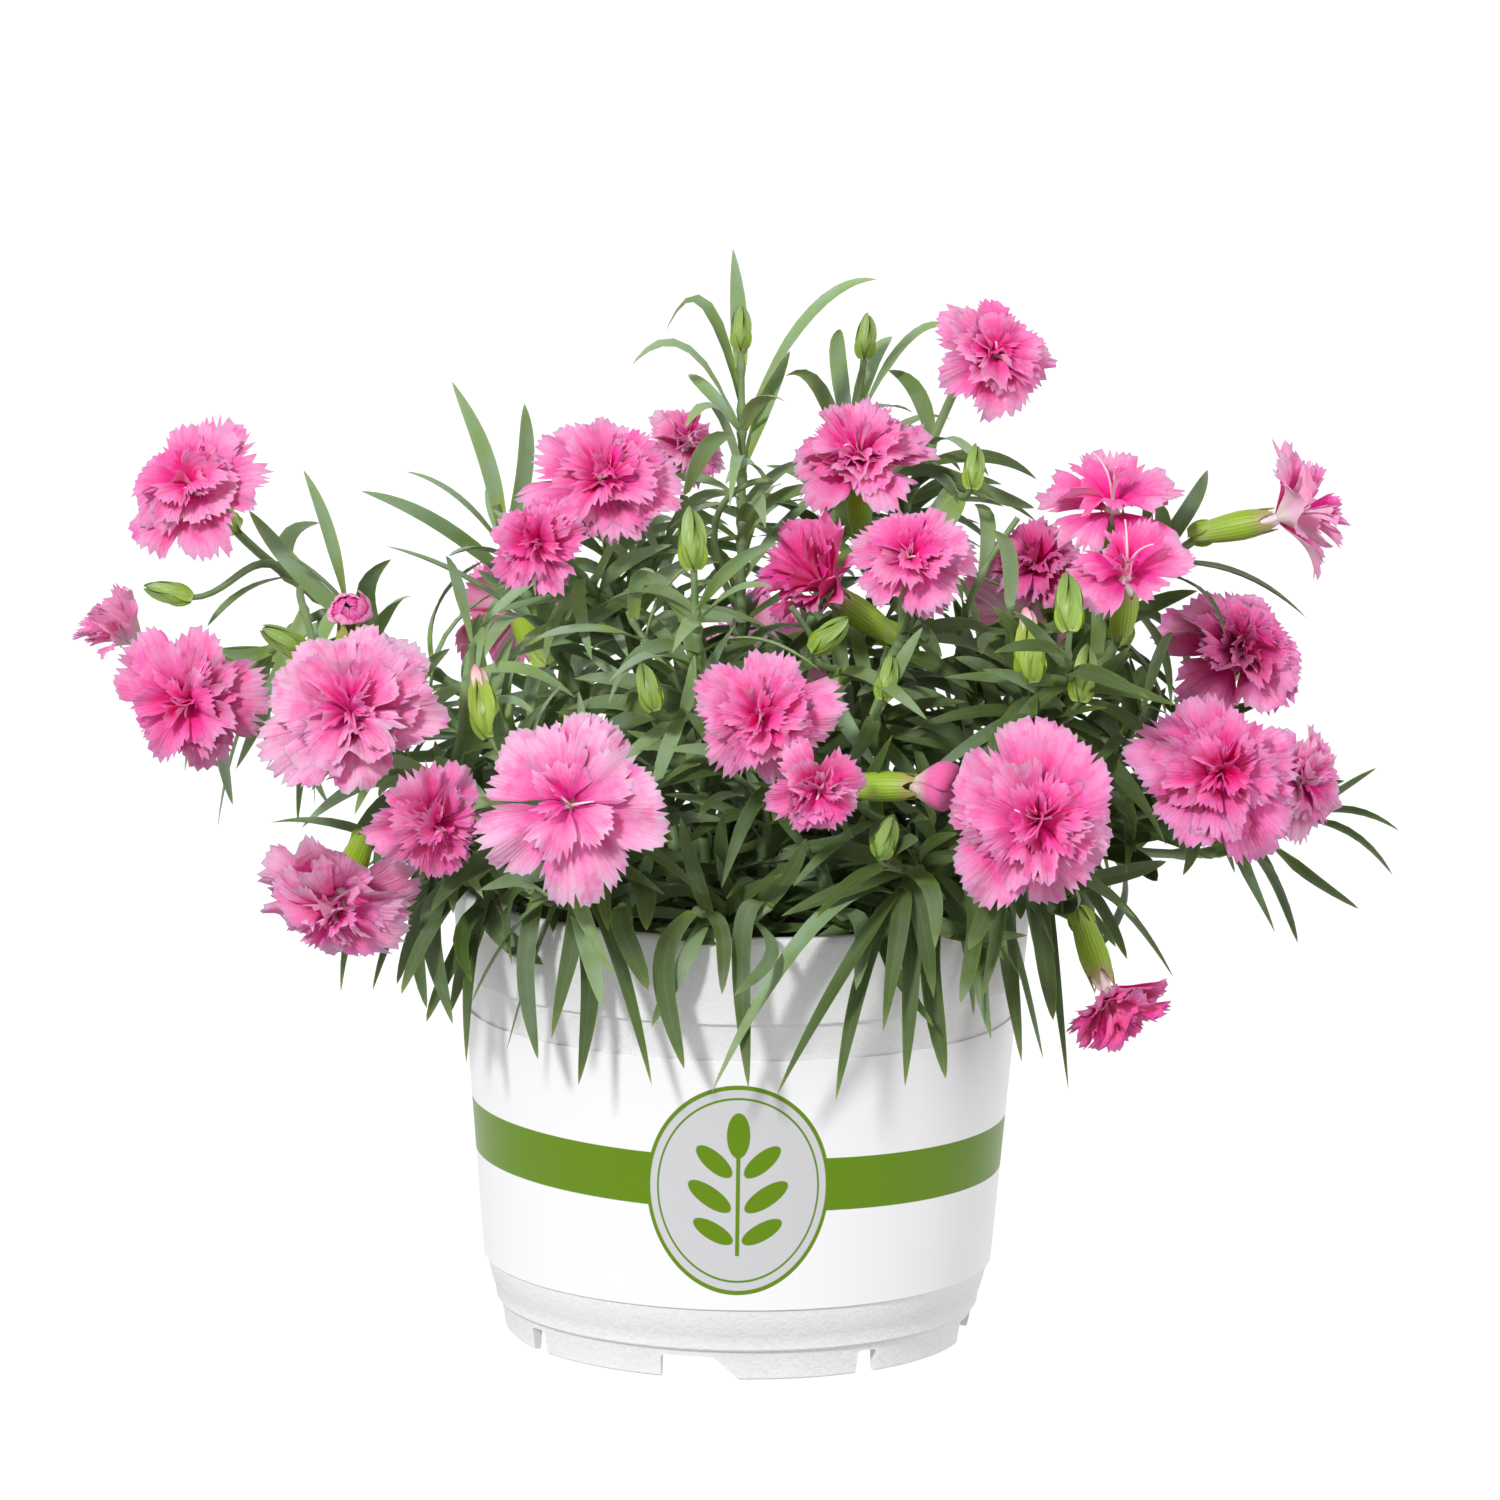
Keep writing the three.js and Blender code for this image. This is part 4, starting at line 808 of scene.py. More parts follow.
def touches_claimed(ball):
    """Whether a ball, a place with radius, owner and leaf, meets one that is no kin of its own."""
    (x, y, z), radius, owner, leaf = ball
    cell = [math.floor(c / ROOM_CELL) for c in (x, y, z)]
    for i in (cell[0] - 1, cell[0], cell[0] + 1):
        for j in (cell[1] - 1, cell[1], cell[1] + 1):
            for k in (cell[2] - 1, cell[2], cell[2] + 1):
                for at, other_radius, other_owner, other_leaf in claimed.get((i, j, k), ()):
                    near = radius + other_radius
                    if (at[0] - x) ** 2 + (at[1] - y) ** 2 + (at[2] - z) ** 2 >= near * near:
                        continue
                    kin = owner == other_owner and (not leaf or not other_leaf or other_leaf is leaf)
                    if not kin:
                        return True
    return False


def touches_head(at, radius, carried):
    """Whether a ball meets the room of a bloom other than the one that its own branch carries."""
    for head, back, fore, side in HEAD_ROOMS:
        if head["name"] == carried:
            continue
        offset = plus(at, head["at"], -1)
        along = dot(offset, head["front"])
        out = math.sqrt(max(0.0, dot(offset, offset) - along * along))
        if -back - radius < along < fore + radius and out < side + radius:
            return True
    return False


def touches_pot(at, radius):
    out = math.hypot(at[0], at[1])
    if at[2] - radius > POT_TOP + POT_CLEAR:
        return False
    if out - radius > POT_LIP + POT_CLEAR:
        return at[2] - radius < FLOOR_CLEAR
    return out + radius > inner_radius(POT_MOUTH) or at[2] - radius < soil_height(at[0], at[1])


def blocked(ball, carried=None):
    at, radius = ball[:2]
    return touches_pot(at, radius) or touches_claimed(ball) or touches_head(at, radius, carried)


def tip_of(spec):
    """Where a branch ends, in which direction for what it carries, and a bud's size."""
    if spec.get("bloom"):
        head = HEADS[spec["bloom"]]
        return plus(head["at"], head["front"], -CALYX_GAP - CALYX_LENGTH), head["front"], 1
    if spec.get("bud"):
        at, turn, lift, size = BUDS[spec["bud"]]
        return plus(at, facing(turn, lift), -BUD_LENGTH * size / 2), facing(turn, lift), size
    return tuple(map(float, spec["tip"])), None, 1


def path_between(start, rising, end, front, rise, draw, loose):
    """A path that leaves its start rising and comes to its end along what it carries there."""
    span = apart(start, end)
    onward = unit(plus(end, start, -1))
    arriving = tuple(PATH_ONWARD * c for c in onward)
    arriving = unit(plus(arriving, front, PATH_FACING) if front else plus(arriving, UP, PATH_UPWARD))
    first = plus(plus(start, rising, span * rise), tuple(draw(-loose, loose) for _ in range(3)))
    second = plus(end, arriving, -span * PATH_ARRIVAL)
    second = plus(second, tuple(draw(-loose, loose) for _ in range(3)))
    return (start, first, second, end)


def jointed(points):
    """A curve as straight runs between knots, with a direction square to it that doesn't twist."""
    length = curve_length(points)
    runs = max(2, math.floor(length / STEM_RUN + 0.5))
    sides = [square_to(curve_along(points, 0))]
    for i in range(1, runs + 1):
        sides.append(squared(sides[-1], curve_along(points, i / runs)))
    knots = [curve_point(points, i / runs) for i in range(runs + 1)]
    return dict(points=points, length=length, runs=runs, knots=knots, sides=sides)


def station_at(path, share):
    """The place on a path's straight runs, the direction along and the side at a share of it."""
    runs, knots = path["runs"], path["knots"]
    run = min(runs - 1, math.floor(share * runs))
    along = curve_along(path["points"], share)
    at = plus(knots[run], plus(knots[run + 1], knots[run], -1), share * runs - run)
    return at, along, squared(path["sides"][math.floor(share * runs + 0.5)], along)


def stem_balls(path, radius, spec, tip, owner):
    """The room of a branch as a row of balls, with those of the calyx or bud at its end."""
    steps = math.ceil(path["length"] / BALL_STEP)
    room = radius + LEAF_ROOM
    balls = [(station_at(path, i / steps)[0], room, owner, None) for i in range(steps + 1)]
    end, front, size = tip
    body = CALYX_LENGTH + 1 if spec.get("bloom") else BUD_LENGTH * size if spec.get("bud") else 0
    along = BALL_STEP
    while along < body:
        balls.append((plus(end, front, along), CALYX_MOUTH + LEAF_ROOM, owner, None))
        along += BALL_STEP
    return balls


def route_stem(spec, start, rising, rise, radius, owner, seed):
    """A branch on the first route that is clear of all others, routes getting looser by the try."""
    tip = tip_of(spec)
    draw = dice(seed)
    best = None
    for attempt in range(ROUTE_TRIES):
        loose = attempt * ROUTE_LOOSER
        path = jointed(path_between(start, rising, tip[0], tip[1], rise, draw, loose))
        balls = stem_balls(path, radius, spec, tip, owner)
        above = [ball for ball in balls if ball[0][2] > SOIL_EDGE + CROWN]
        meets = sum(blocked(ball, spec.get("bloom")) for ball in above)
        if best is None or meets < best[2]:
            best = (path, balls, meets)
        if best[2] == 0:
            break
    for ball in best[1]:
        claim(ball)
    return dict(best[0], spec=spec, tip=tip, radius=radius)


def leaf_balls(leaf, owner):
    base, _, tip = leaf["points"]
    steps = math.ceil(apart(base, tip) / LEAF_BALL_STEP)
    balls = []
    for i in range(1, steps + 1):
        t = i / steps
        at = curve_point(leaf["points"], t)
        half = leaf["width"] / 2 * min(1, 2.4 * (1 - t) + 0.25)
        balls.append((at, half + LEAF_ROOM, owner, leaf if apart(base, at) > LEAF_FOOT else None))
    return balls


def keep_leaf(leaf, owner, leaves, room=math.inf):
    """Keeps a leaf that is clear of all others; a thin blade asks for less room than its width."""
    balls = [(at, min(radius, room), own, kin) for at, radius, own, kin in leaf_balls(leaf, owner)]
    if any(blocked(ball) for ball in balls):
        return False
    for ball in balls:
        claim(ball)
    leaves.append(leaf)
    return True


def leaf_to(branch, place, tip, arch):
    """A leaf to a given tip that arches upwards by the given height."""
    base = station_at(branch, place)[0]
    middle = plus(base, plus(tip, base, -1), 0.5)
    bend = plus(middle, UP, 2 * arch)
    return dict(points=(base, bend, tuple(map(float, tip))), width=LEAF_WIDTH, branch=branch, place=place)


def leaf_from(branch, place, bearing, draw, shrink):
    """A leaf of a pair: it leaves the stem at an angle, on the given bearing round it, and droops."""
    base, along, side = station_at(branch, place)
    out = spoke(along, side, bearing + math.radians(draw(-20, 20)))
    length = draw(*LEAF_LENGTH) * shrink
    opened = math.radians(draw(*LEAF_OPENING))
    bend = off_axis(base, along, length * 0.5 * math.cos(opened), out, length * 0.5 * math.sin(opened))
    opened += math.radians(draw(*LEAF_DROOP))
    tip = off_axis(base, along, length * 0.92 * math.cos(opened), out, length * 0.92 * math.sin(opened))
    tip = plus(tip, UP, -length * draw(0, 0.3))
    width = LEAF_WIDTH * draw(0.85, 1.05)
    return dict(points=(base, bend, tip), width=width, branch=branch, place=place)


def skirt_leaves(branch, count, owner, leaves, draw):
    """Leaves that hang over the rim from a low fork, spread evenly about its bearing."""
    x, y, _ = branch["spec"]["tip"]
    for i in range(count):
        bearing = math.atan2(y, x) + math.radians(SKIRT_SPREAD * (i - (count - 1) / 2) + draw(-4, 4))
        out = draw(*SKIRT_OUT)
        tip = (math.cos(bearing) * out, math.sin(bearing) * out, draw(*SKIRT_LOW))
        keep_leaf(leaf_to(branch, 1 - 0.1 * (i % 2), tip, SKIRT_ARCH), owner, leaves)


def arched_leaf(stem, branch, place, tip, arch, room=math.inf):
    """A leaf to a given tip, at the first arch that gives it room."""
    for lift in LEAF_LIFTS:
        if keep_leaf(leaf_to(branch, place, tip, arch + lift), stem["name"], stem["leaves"], room):
            break


def paired_leaves(branch, places, owner, leaves, draw):
    """Opposite pairs, each square to the one below; a leaf is bent afresh until it finds room."""
    for i, place in enumerate(places):
        bearing = math.pi / 4 + (i % 2) * (math.pi / 2)
        for opposite in (0, math.pi):
            for _ in range(LEAF_TRIES):
                leaf = leaf_from(branch, place, bearing + opposite, draw, blend(1.08, 0.75, place))
                if keep_leaf(leaf, owner, leaves):
                    break


def grow_stems():
    stems = []
    for index, (name, spec) in enumerate(STEMS.items()):
        start = (float(spec["root"][0]), float(spec["root"][1]), float(STEM_START))
        main = route_stem(spec, start, UP, spec["rise"], STEM_RADIUS, name, SEED_STEMS + index)
        stems.append(dict(name=name, spec=spec, main=main, forks=[], leaves=[]))
    for index, stem in enumerate(stems):
        for i, fork in enumerate(stem["spec"].get("forks", [])):
            start, rising, _ = station_at(stem["main"], fork["at"])
            seed = SEED_FORKS + index * 10 + i
            made = route_stem(fork, start, rising, FORK_RISE, FORK_RADIUS, stem["name"], seed)
            stem["forks"].append(made)
    return stems


def grow_leaves(stems):
    for stem in stems:
        for branch in [stem["main"]] + stem["forks"]:
            for place, tip, arch in LONG_LEAVES.get(branch["spec"].get("leafy"), []):
                arched_leaf(stem, branch, place, tip, arch)
    for index, stem in enumerate(stems):
        draw = dice(SEED_LEAVES + index)
        for fork in stem["forks"]:
            if fork["spec"].get("skirt"):
                skirt_leaves(fork, fork["spec"]["skirt"], stem["name"], stem["leaves"], draw)
        pairs = stem["spec"]["pairs"]
        shares = [i / (pairs - 1) if pairs > 1 else 0.5 for i in range(pairs)]
        places = [blend(PAIRS_FROM, PAIRS_TO, share) for share in shares]
        paired_leaves(stem["main"], places, stem["name"], stem["leaves"], draw)
        for fork in stem["forks"]:
            if fork["length"] >= LONG_FORK:
                paired_leaves(fork, [FORK_PAIR], stem["name"], stem["leaves"], draw)


stems = grow_stems()
grow_leaves(stems)


def late_long_leaves(stem):
    """The long leaves that found no room at their full width."""
    tips = {leaf["points"][2] for leaf in stem["leaves"]}
    for branch in [stem["main"]] + stem["forks"]:
        for place, tip, arch in LONG_LEAVES.get(branch["spec"].get("leafy"), []):
            if tuple(map(float, tip)) not in tips:
                arched_leaf(stem, branch, place, tip, arch, SLIM_ROOM)


def in_airy_part(tip):
    """The top, the high left and the low right of the plant keep only their first leaves."""
    x, _, z = tip
    return z > AIRY_TOP or (x > AIRY_SIDE and z < AIRY_LOW) or (x < AIRY_LEFT and z > AIRY_LEFT_LOW)


def before_bloom(leaf):
    """Whether a leaf would hang in front of a bloom, as the plant is looked at from its front."""
    for share in (0.4, 0.6, 0.8, 1.0):
        x, y, z = curve_point(leaf["points"], share)
        for head in (head for head in HEADS.values() if head["at"][1] < BLOOM_BACK):
            ahead = head["at"][1] - y
            across, above = x - head["at"][0], z - head["at"][2] - ahead * BLOOM_CLEAR_SLOPE
            if 0 < ahead and math.hypot(across, above) < BLOOM_CLEAR * head["radius"]:
                return True
    return False


def fill_with_leaves(stem, branch, draw, first, step, size):
    """Pairs of leaves at every joint of a branch, each turned to a free side."""
    joints = int(branch["length"] * (FILL_TO - first) / step)
    for i in range(joints):
        place = first + (FILL_TO - first) * (i + 0.5) / joints
        for opposite in (0, math.pi):
            for _ in range(FILL_TRIES):
                bearing = opposite + i * math.pi / 2 + draw(-0.6, 0.6)
                shrink = blend(1.1, 0.8, place) * size * draw(0.8, 1.05)
                leaf = leaf_from(branch, place, bearing, draw, shrink)
                if in_airy_part(leaf["points"][2]) or before_bloom(leaf):
                    continue
                if keep_leaf(leaf, stem["name"], stem["leaves"], SLIM_ROOM):
                    break


def more_shoots(stems):
    """Small side shoots with long leaves, many of which hang over the pot's rim."""
    by_name = {stem["name"]: stem for stem in stems}
    for i, (name, at, tip, leaf_tips) in enumerate(SHOOTS):
        stem = by_name[name]
        start, rising, _ = station_at(stem["main"], at)
        spec = dict(tip=tip, at=at)
        shoot = route_stem(spec, start, rising, FORK_RISE, SHOOT_RADIUS, name, SEED_SHOOTS + i)
        stem["forks"].append(shoot)
        for j, leaf_tip in enumerate(leaf_tips):
            arched_leaf(stem, shoot, 1 - 0.08 * j, leaf_tip, SHOOT_ARCH, SLIM_ROOM)


def more_leaves(stems):
    """The leaves between the main pairs, where there is still room for a thin blade."""
    for stem in stems:
        late_long_leaves(stem)
    more_shoots(stems)
    for index, stem in enumerate(stems):
        draw = dice(SEED_THIN_LEAVES + index)
        fill_with_leaves(stem, stem["main"], draw, first=0.03, step=5.5, size=1.22)
        for fork in stem["forks"]:
            fill_with_leaves(stem, fork, draw, first=0.1, step=7.5, size=1.0)


more_leaves(stems)

# ---------------------------------------------------------------- stems, leaves, calyxes and buds
# Each stem is one grown body: a jointed tube with swollen nodes, narrow waxy leaves in opposite pairs,
# ribbed calyx tubes with five teeth and four scales at the foot, and closed green buds.
TUBE_SIDES = 10
TUBE_STEP = 3.0
NODE_SWELL = 0.42
NODE_REACH = 2.2
LEAF_ROWS = 9
LONG_LEAF = 32
LONG_LEAF_ROWS = 14
SCALE_ROWS = 7
LEAF_RING = ((-1, 0.13), (-0.55, 0.03), (0, -0.1), (0.55, 0.03), (1, 0.13), (0.5, -0.13), (0, -0.27),
             (-0.5, -0.13))
CALYX_FOOT = -3.2
CALYX_OUTLINE = ((CALYX_FOOT, 1.1), (-2.5, 1.7), (-1, 2.2), (1.5, 2.65), (5, 3.1), (8.5, 3.35),
                 (11, 3.2), (12.4, 3.0))
CALYX_TEETH = 5
CALYX_RIBS = 25
CALYX_TOOTH = 3.8
CALYX_CUP = 4.0
SCALE_LENGTH = 5.6
BUD_OUTLINE = ((0.0, 0.36), (0.05, 0.56), (0.15, 0.8), (0.27, 0.96), (0.4, 1.0), (0.52, 0.93),
               (0.63, 0.78), (0.74, 0.58), (0.85, 0.38), (0.95, 0.18))
BUD_TOOTH = 0.55
BUD_TEETH = 5
RIPE_BUDS = ("left", "right_pair")
# Leaves whose tips hang below this height are older and more bent, and get a darker tone as painted shade.
SHADED = 108
# Leaves get a paler tone above this height and towards the left, as painted light where the key lamp falls.
SUNNY_HEIGHT = 150
SUNNY_RANGE = 90
SUNNY_SIDE = 10
SUNNY_WIDTH = 140
SEED_GROWTH = 2000
PART_LEAF, PART_STEM, PART_CALYX, PART_BUD, PART_TIP = range(5)


class Growth:
    """Corners and faces of many small bodies, gathered into one mesh with their shares and tones."""

    def __init__(self):
        self.corners, self.faces, self.shares, self.tones, self.parts = [], [], [], [], []
        self.count = 0

    def add(self, corners, faces, shares, tone, part):
        """Corners are rows of x, y, z; shares are rows of across and along; faces count from nought."""
        corners = np.asarray(corners, dtype=float)
        self.corners.append(corners)
        self.shares.append(np.asarray(shares, dtype=float))
        self.tones.append(np.full(len(corners), tone))
        self.faces.extend([[i + self.count for i in face] for face in faces])
        self.parts.extend(part if isinstance(part, list) else [part] * len(faces))
        self.count += len(corners)

    def build(self, name):
        piece = body_mesh(name, np.concatenate(self.corners).tolist(), self.faces)
        mesh = piece.data
        mesh.polygons.foreach_set("material_index", self.parts)
        which = np.zeros(len(mesh.loops), dtype=int)
        mesh.loops.foreach_get("vertex_index", which)
        layer = mesh.uv_layers.new(name="shares")
        layer.data.foreach_set("uv", np.concatenate(self.shares)[which].ravel())
        tone = mesh.attributes.new("tone", "FLOAT", "POINT")
        tone.data.foreach_set("value", np.concatenate(self.tones))
        mesh.set_sharp_from_angle(angle=math.radians(80))
        return piece


def closed_faces(rings, size):
    """Faces of a tube whose rings lie one after another, then the middles of its two ends."""
    faces = []
    for low in range(0, (rings - 1) * size, size):
        for i in range(size):
            j = (i + 1) % size
            faces.append([low + i, low + j, low + size + j, low + size + i])
    foot, head, last = rings * size, rings * size + 1, (rings - 1) * size
    for i in range(size):
        j = (i + 1) % size
        faces.append([j, i, foot])
        faces.append([last + i, last + j, head])
    return faces


def tube_rings(stops, alongs, sides, radii, count):
    """Corners of rings of a tube; the sides are the directions to each ring's first corner."""
    stops, alongs, sides = (np.array(rows, dtype=float) for rows in (stops, alongs, sides))
    across = np.cross(alongs, sides)
    angle = 2 * np.pi * np.arange(count) / count
    radii = np.asarray(radii, dtype=float)
    if radii.ndim == 1:
        radii = radii[:, None] * np.ones(count)
    arms = sides[:, None] * np.cos(angle)[None, :, None] + across[:, None] * np.sin(angle)[None, :, None]
    return stops[:, None] + arms * radii[:, :, None]


def add_tube(growth, stops, alongs, sides, radii, tone, part, count=TUBE_SIDES):
    """A closed tube; its shares are round it and along it."""
    rings = tube_rings(stops, alongs, sides, radii, count)
    total = len(stops)
    corners = np.concatenate([rings.reshape(-1, 3), [stops[0]], [stops[-1]]])
    round_share = np.tile(np.arange(count) / count, total)
    along_share = np.repeat(np.linspace(0, 1, total), count)
    shares = np.concatenate([np.stack([round_share, along_share], 1), [[0, 0], [0, 1]]])
    growth.add(corners, closed_faces(total, count), shares, tone, part)


def smooth_stations(branch, places):
    """Stations of the smooth curve through a branch's knots, with sides that don't twist."""
    points = branch["points"]
    side = square_to(curve_along(points, 0))
    rows = []
    for place in places:
        along = curve_along(points, place)
        side = squared(side, along)
        rows.append((curve_point(points, place), along, side))
    return rows


def add_branch(growth, branch, joints, buried, tone):
    """The jointed tube of a stem or fork, swollen where leaves or forks stand."""
    steps = max(4, round(branch["length"] / TUBE_STEP))
    places = [i / steps for i in range(steps + 1)]
    for joint in joints:
        places += [joint + d / branch["length"] for d in (-NODE_REACH, -0.8, 0, 0.8, NODE_REACH)]
    places = sorted(p for p in set(places) if 0 <= p <= 1)
    rows = smooth_stations(branch, places)
    thin = 0.62 if branch["spec"].get("bud") else 0.8
    radii = []
    for place in places:
        near = min((abs(place - joint) * branch["length"] for joint in joints), default=99)
        swell = 1 + NODE_SWELL * max(0.0, 1 - near / NODE_REACH)
        radii.append(branch["radius"] * blend(1, thin, place) * swell)
    if buried:
        x, y, _ = rows[0][0]
        rows.insert(0, ((x, y, STEM_BURIED), rows[0][1], rows[0][2]))
        radii.insert(0, radii[0])
    add_tube(growth, *zip(*rows), radii, tone, PART_STEM)
    return rows[-1]


def leaf_shape(t, blunt):
    """A leaf's share of its full width at a share of its length: even, with a blunt or a long point."""
    widening = 0.66 + 0.34 * np.sin(np.minimum(1, t / 0.35) * np.pi / 2)
    even = 0.35 + 0.3 * blunt
    narrowing = (1 - np.maximum(0, (t - even) / (1 - even)) ** (1.8 + 1.2 * blunt)) ** (0.9 - 0.15 * blunt)
    return widening * narrowing


def add_leaf(growth, points, width, tone, twist, rows, part=PART_LEAF, cupped=1.0, blunt=0.4,
             light=None, bow=0.0):
    """A thin blade with a groove above and a keel below, its face rolled by a share to the light."""
    base, bend, tip = (np.array(p) for p in points)
    side = np.cross(bend - base, tip - base)
    straight = np.linalg.norm(side) < 0.03 * np.sum((tip - base) ** 2)
    side = np.array(square_to(unit(tuple(tip - base)))) if straight else side / np.linalg.norm(side)
    even = (np.arange(rows) + 0.35) / (rows + 0.15)
    t = (even + (1 - np.cos(np.pi * even)) / 2) / 2
    at = (1 - t)[:, None] ** 2 * base + 2 * ((1 - t) * t)[:, None] * bend + (t ** 2)[:, None] * tip
    along = (1 - t)[:, None] * (bend - base) + t[:, None] * (tip - bend)
    at = at + bow * np.sin(np.pi * t)[:, None] * side
    along = along + bow * np.pi / 2 * np.cos(np.pi * t)[:, None] * side
    along /= np.linalg.norm(along, axis=1)[:, None]
    above = np.cross(along, side)
    roll = 0.0
    if light is not None:
        toward, share = light
        middle = rows // 2
        if np.dot(above[middle], toward) < 0:
            side, above = -side, -above
        roll = -share * math.atan2(np.dot(side, toward), np.dot(above[middle], toward))
    turn = (roll * np.minimum(1, t / 0.35) + twist * t)[:, None]
    across = side * np.cos(turn) + above * np.sin(turn)
    above = above * np.cos(turn) - side * np.sin(turn)
    half = (width / 2 * leaf_shape(t, blunt))[:, None]
    ring = np.array(LEAF_RING)
    rings = [at + half * (x * across + z * cupped * above) for x, z in ring]
    corners = np.stack(rings, 1).reshape(-1, 3)
    count = len(ring)
    corners = np.concatenate([corners, [base], [tip]])
    across_share = np.tile(ring[:, 0] / 2 + 0.5, rows)
    along_share = np.repeat(t, count)
    shares = np.concatenate([np.stack([across_share, along_share], 1), [[0.5, 0]], [[0.5, 1]]])
    faces = [face[::-1] for face in closed_faces(rows, count)]
    growth.add(corners, faces, shares, tone, part)


def add_scales(growth, root, along, side, radius, length, tone, open_by=1.08):
    """Four pointed scales that hug the foot of a calyx or bud."""
    for i in range(4):
        out = spoke(along, side, math.pi / 4 + i * math.pi / 2)
        base = off_axis(root, along, -0.4, out, radius * 0.45)
        bend = off_axis(root, along, length * 0.35, out, radius * 1.42)
        tip = off_axis(root, along, length, out, radius * open_by)
        add_leaf(growth, (base, bend, tip), radius * 1.5, tone, 0, SCALE_ROWS, PART_CALYX, 1.6)


def add_calyx(growth, end, along, side, tone):
    """A ribbed tube with five teeth at its mouth and a cup inside for the petals."""
    count = CALYX_TEETH * 6
    stops = [plus(end, along, height) for height, _ in CALYX_OUTLINE]
    radii = [radius for _, radius in CALYX_OUTLINE]
    rings = tube_rings(stops, [along] * len(stops), [side] * len(stops), radii, count)
    steps = np.arange(count) % 6
    rise = CALYX_TOOTH * np.maximum(0, 1 - np.minimum(steps, 6 - steps) / 2.8) ** 1.25
    mouth = plus(end, along, CALYX_LENGTH)
    rim = tube_rings([mouth], [along], [side], [np.full(count, 2.95)], count)[0]
    rim = rim + rise[:, None] * (np.array(along) - 0.1 * (rim - mouth) / 3)
    inner = rim + (np.array(mouth) - rim) * 0.1 + np.array(along) * -0.15
    cup = tube_rings([plus(end, along, CALYX_LENGTH - CALYX_CUP)], [along], [side], [2.3], count)[0]
    corners = np.concatenate([rings.reshape(-1, 3), rim, inner, cup, [end], [np.mean(cup, axis=0)]])
    total = len(stops) + 3
    heights = [height / CALYX_LENGTH for height, _ in CALYX_OUTLINE] + [1.0, 1.0, 0.8]
    shares = np.stack([np.tile(np.arange(count) / count, total), np.repeat(heights, count)], 1)
    shares[len(stops) * count:(len(stops) + 2) * count, 1] += np.tile(rise / CALYX_LENGTH, 2)
    shares = np.concatenate([shares, [[0, 0], [0, 0.8]]])
    growth.add(corners, closed_faces(total, count), shares, tone, PART_CALYX)
    add_scales(growth, plus(end, along, CALYX_FOOT), along, side, 2.1, SCALE_LENGTH, tone)


def add_bud(growth, end, along, side, size, tone):
    """A closed bud: an egg shape whose five folded teeth meet in a point."""
    count = 20
    stops = [plus(end, along, share * BUD_LENGTH * size) for share, _ in BUD_OUTLINE]
    angle = 2 * np.pi * np.arange(count) / count
    groove = 1 - 0.05 * (0.5 + 0.5 * np.cos(5 * angle)) ** 3
    radii = [radius * 2.8 * size * groove for _, radius in BUD_OUTLINE]
    stops.append(plus(end, along, BUD_LENGTH * size))
    radii = np.array(radii + [np.full(count, 0.05)])
    add_tube(growth, stops, [along] * len(stops), [side] * len(stops), radii, tone, PART_BUD, count)
    add_scales(growth, end, along, side, 1.95 * size, SCALE_LENGTH * size * 0.9, tone, 1.35)
    for i in range(BUD_TEETH):
        turn = (i + 0.5) * 2 * math.pi / BUD_TEETH
        longer = 0.06 * (i % 2)
        out = spoke(along, side, turn)
        base = off_axis(end, along, 0.36 * BUD_LENGTH * size, out, 2.55 * size)
        bend = off_axis(end, along, 0.72 * BUD_LENGTH * size, out, 2.5 * size)
        tip = off_axis(end, along, (0.98 + longer) * BUD_LENGTH * size, out, BUD_TOOTH * size)
        add_leaf(growth, (base, bend, tip), 2.5 * size, tone, 0, SCALE_ROWS, PART_BUD, 1.2)
        if tone < 0.9:
            continue
        out = spoke(along, side, turn + 0.6)
        base = off_axis(end, along, 0.7 * BUD_LENGTH * size, out, 1.2 * size)
        bend = off_axis(end, along, 0.95 * BUD_LENGTH * size, out, 1.5 * size)
        tip = off_axis(end, along, (1.12 + longer) * BUD_LENGTH * size, out, 0.9 * size)
        add_leaf(growth, (base, bend, tip), 2.0 * size, tone, 0, SCALE_ROWS, PART_TIP)


def shares_of(tree):
    """The shares across or round a part, and along it."""
    parts = add_node(tree, "SeparateXYZ", {0: add_node(tree, "UVMap", uv_map="shares").outputs[0]})
    return parts.outputs[0], parts.outputs[1]


def tone_of(tree):
    """The tone of a part from 0 to 1: outer to inner on petals, older to younger on leaves; on leaves it
    also runs from painted shade to painted light, and on petals the inner end is painted deeper for shade.
    """
    return add_node(tree, "Attribute", attribute_name="tone").outputs["Fac"]


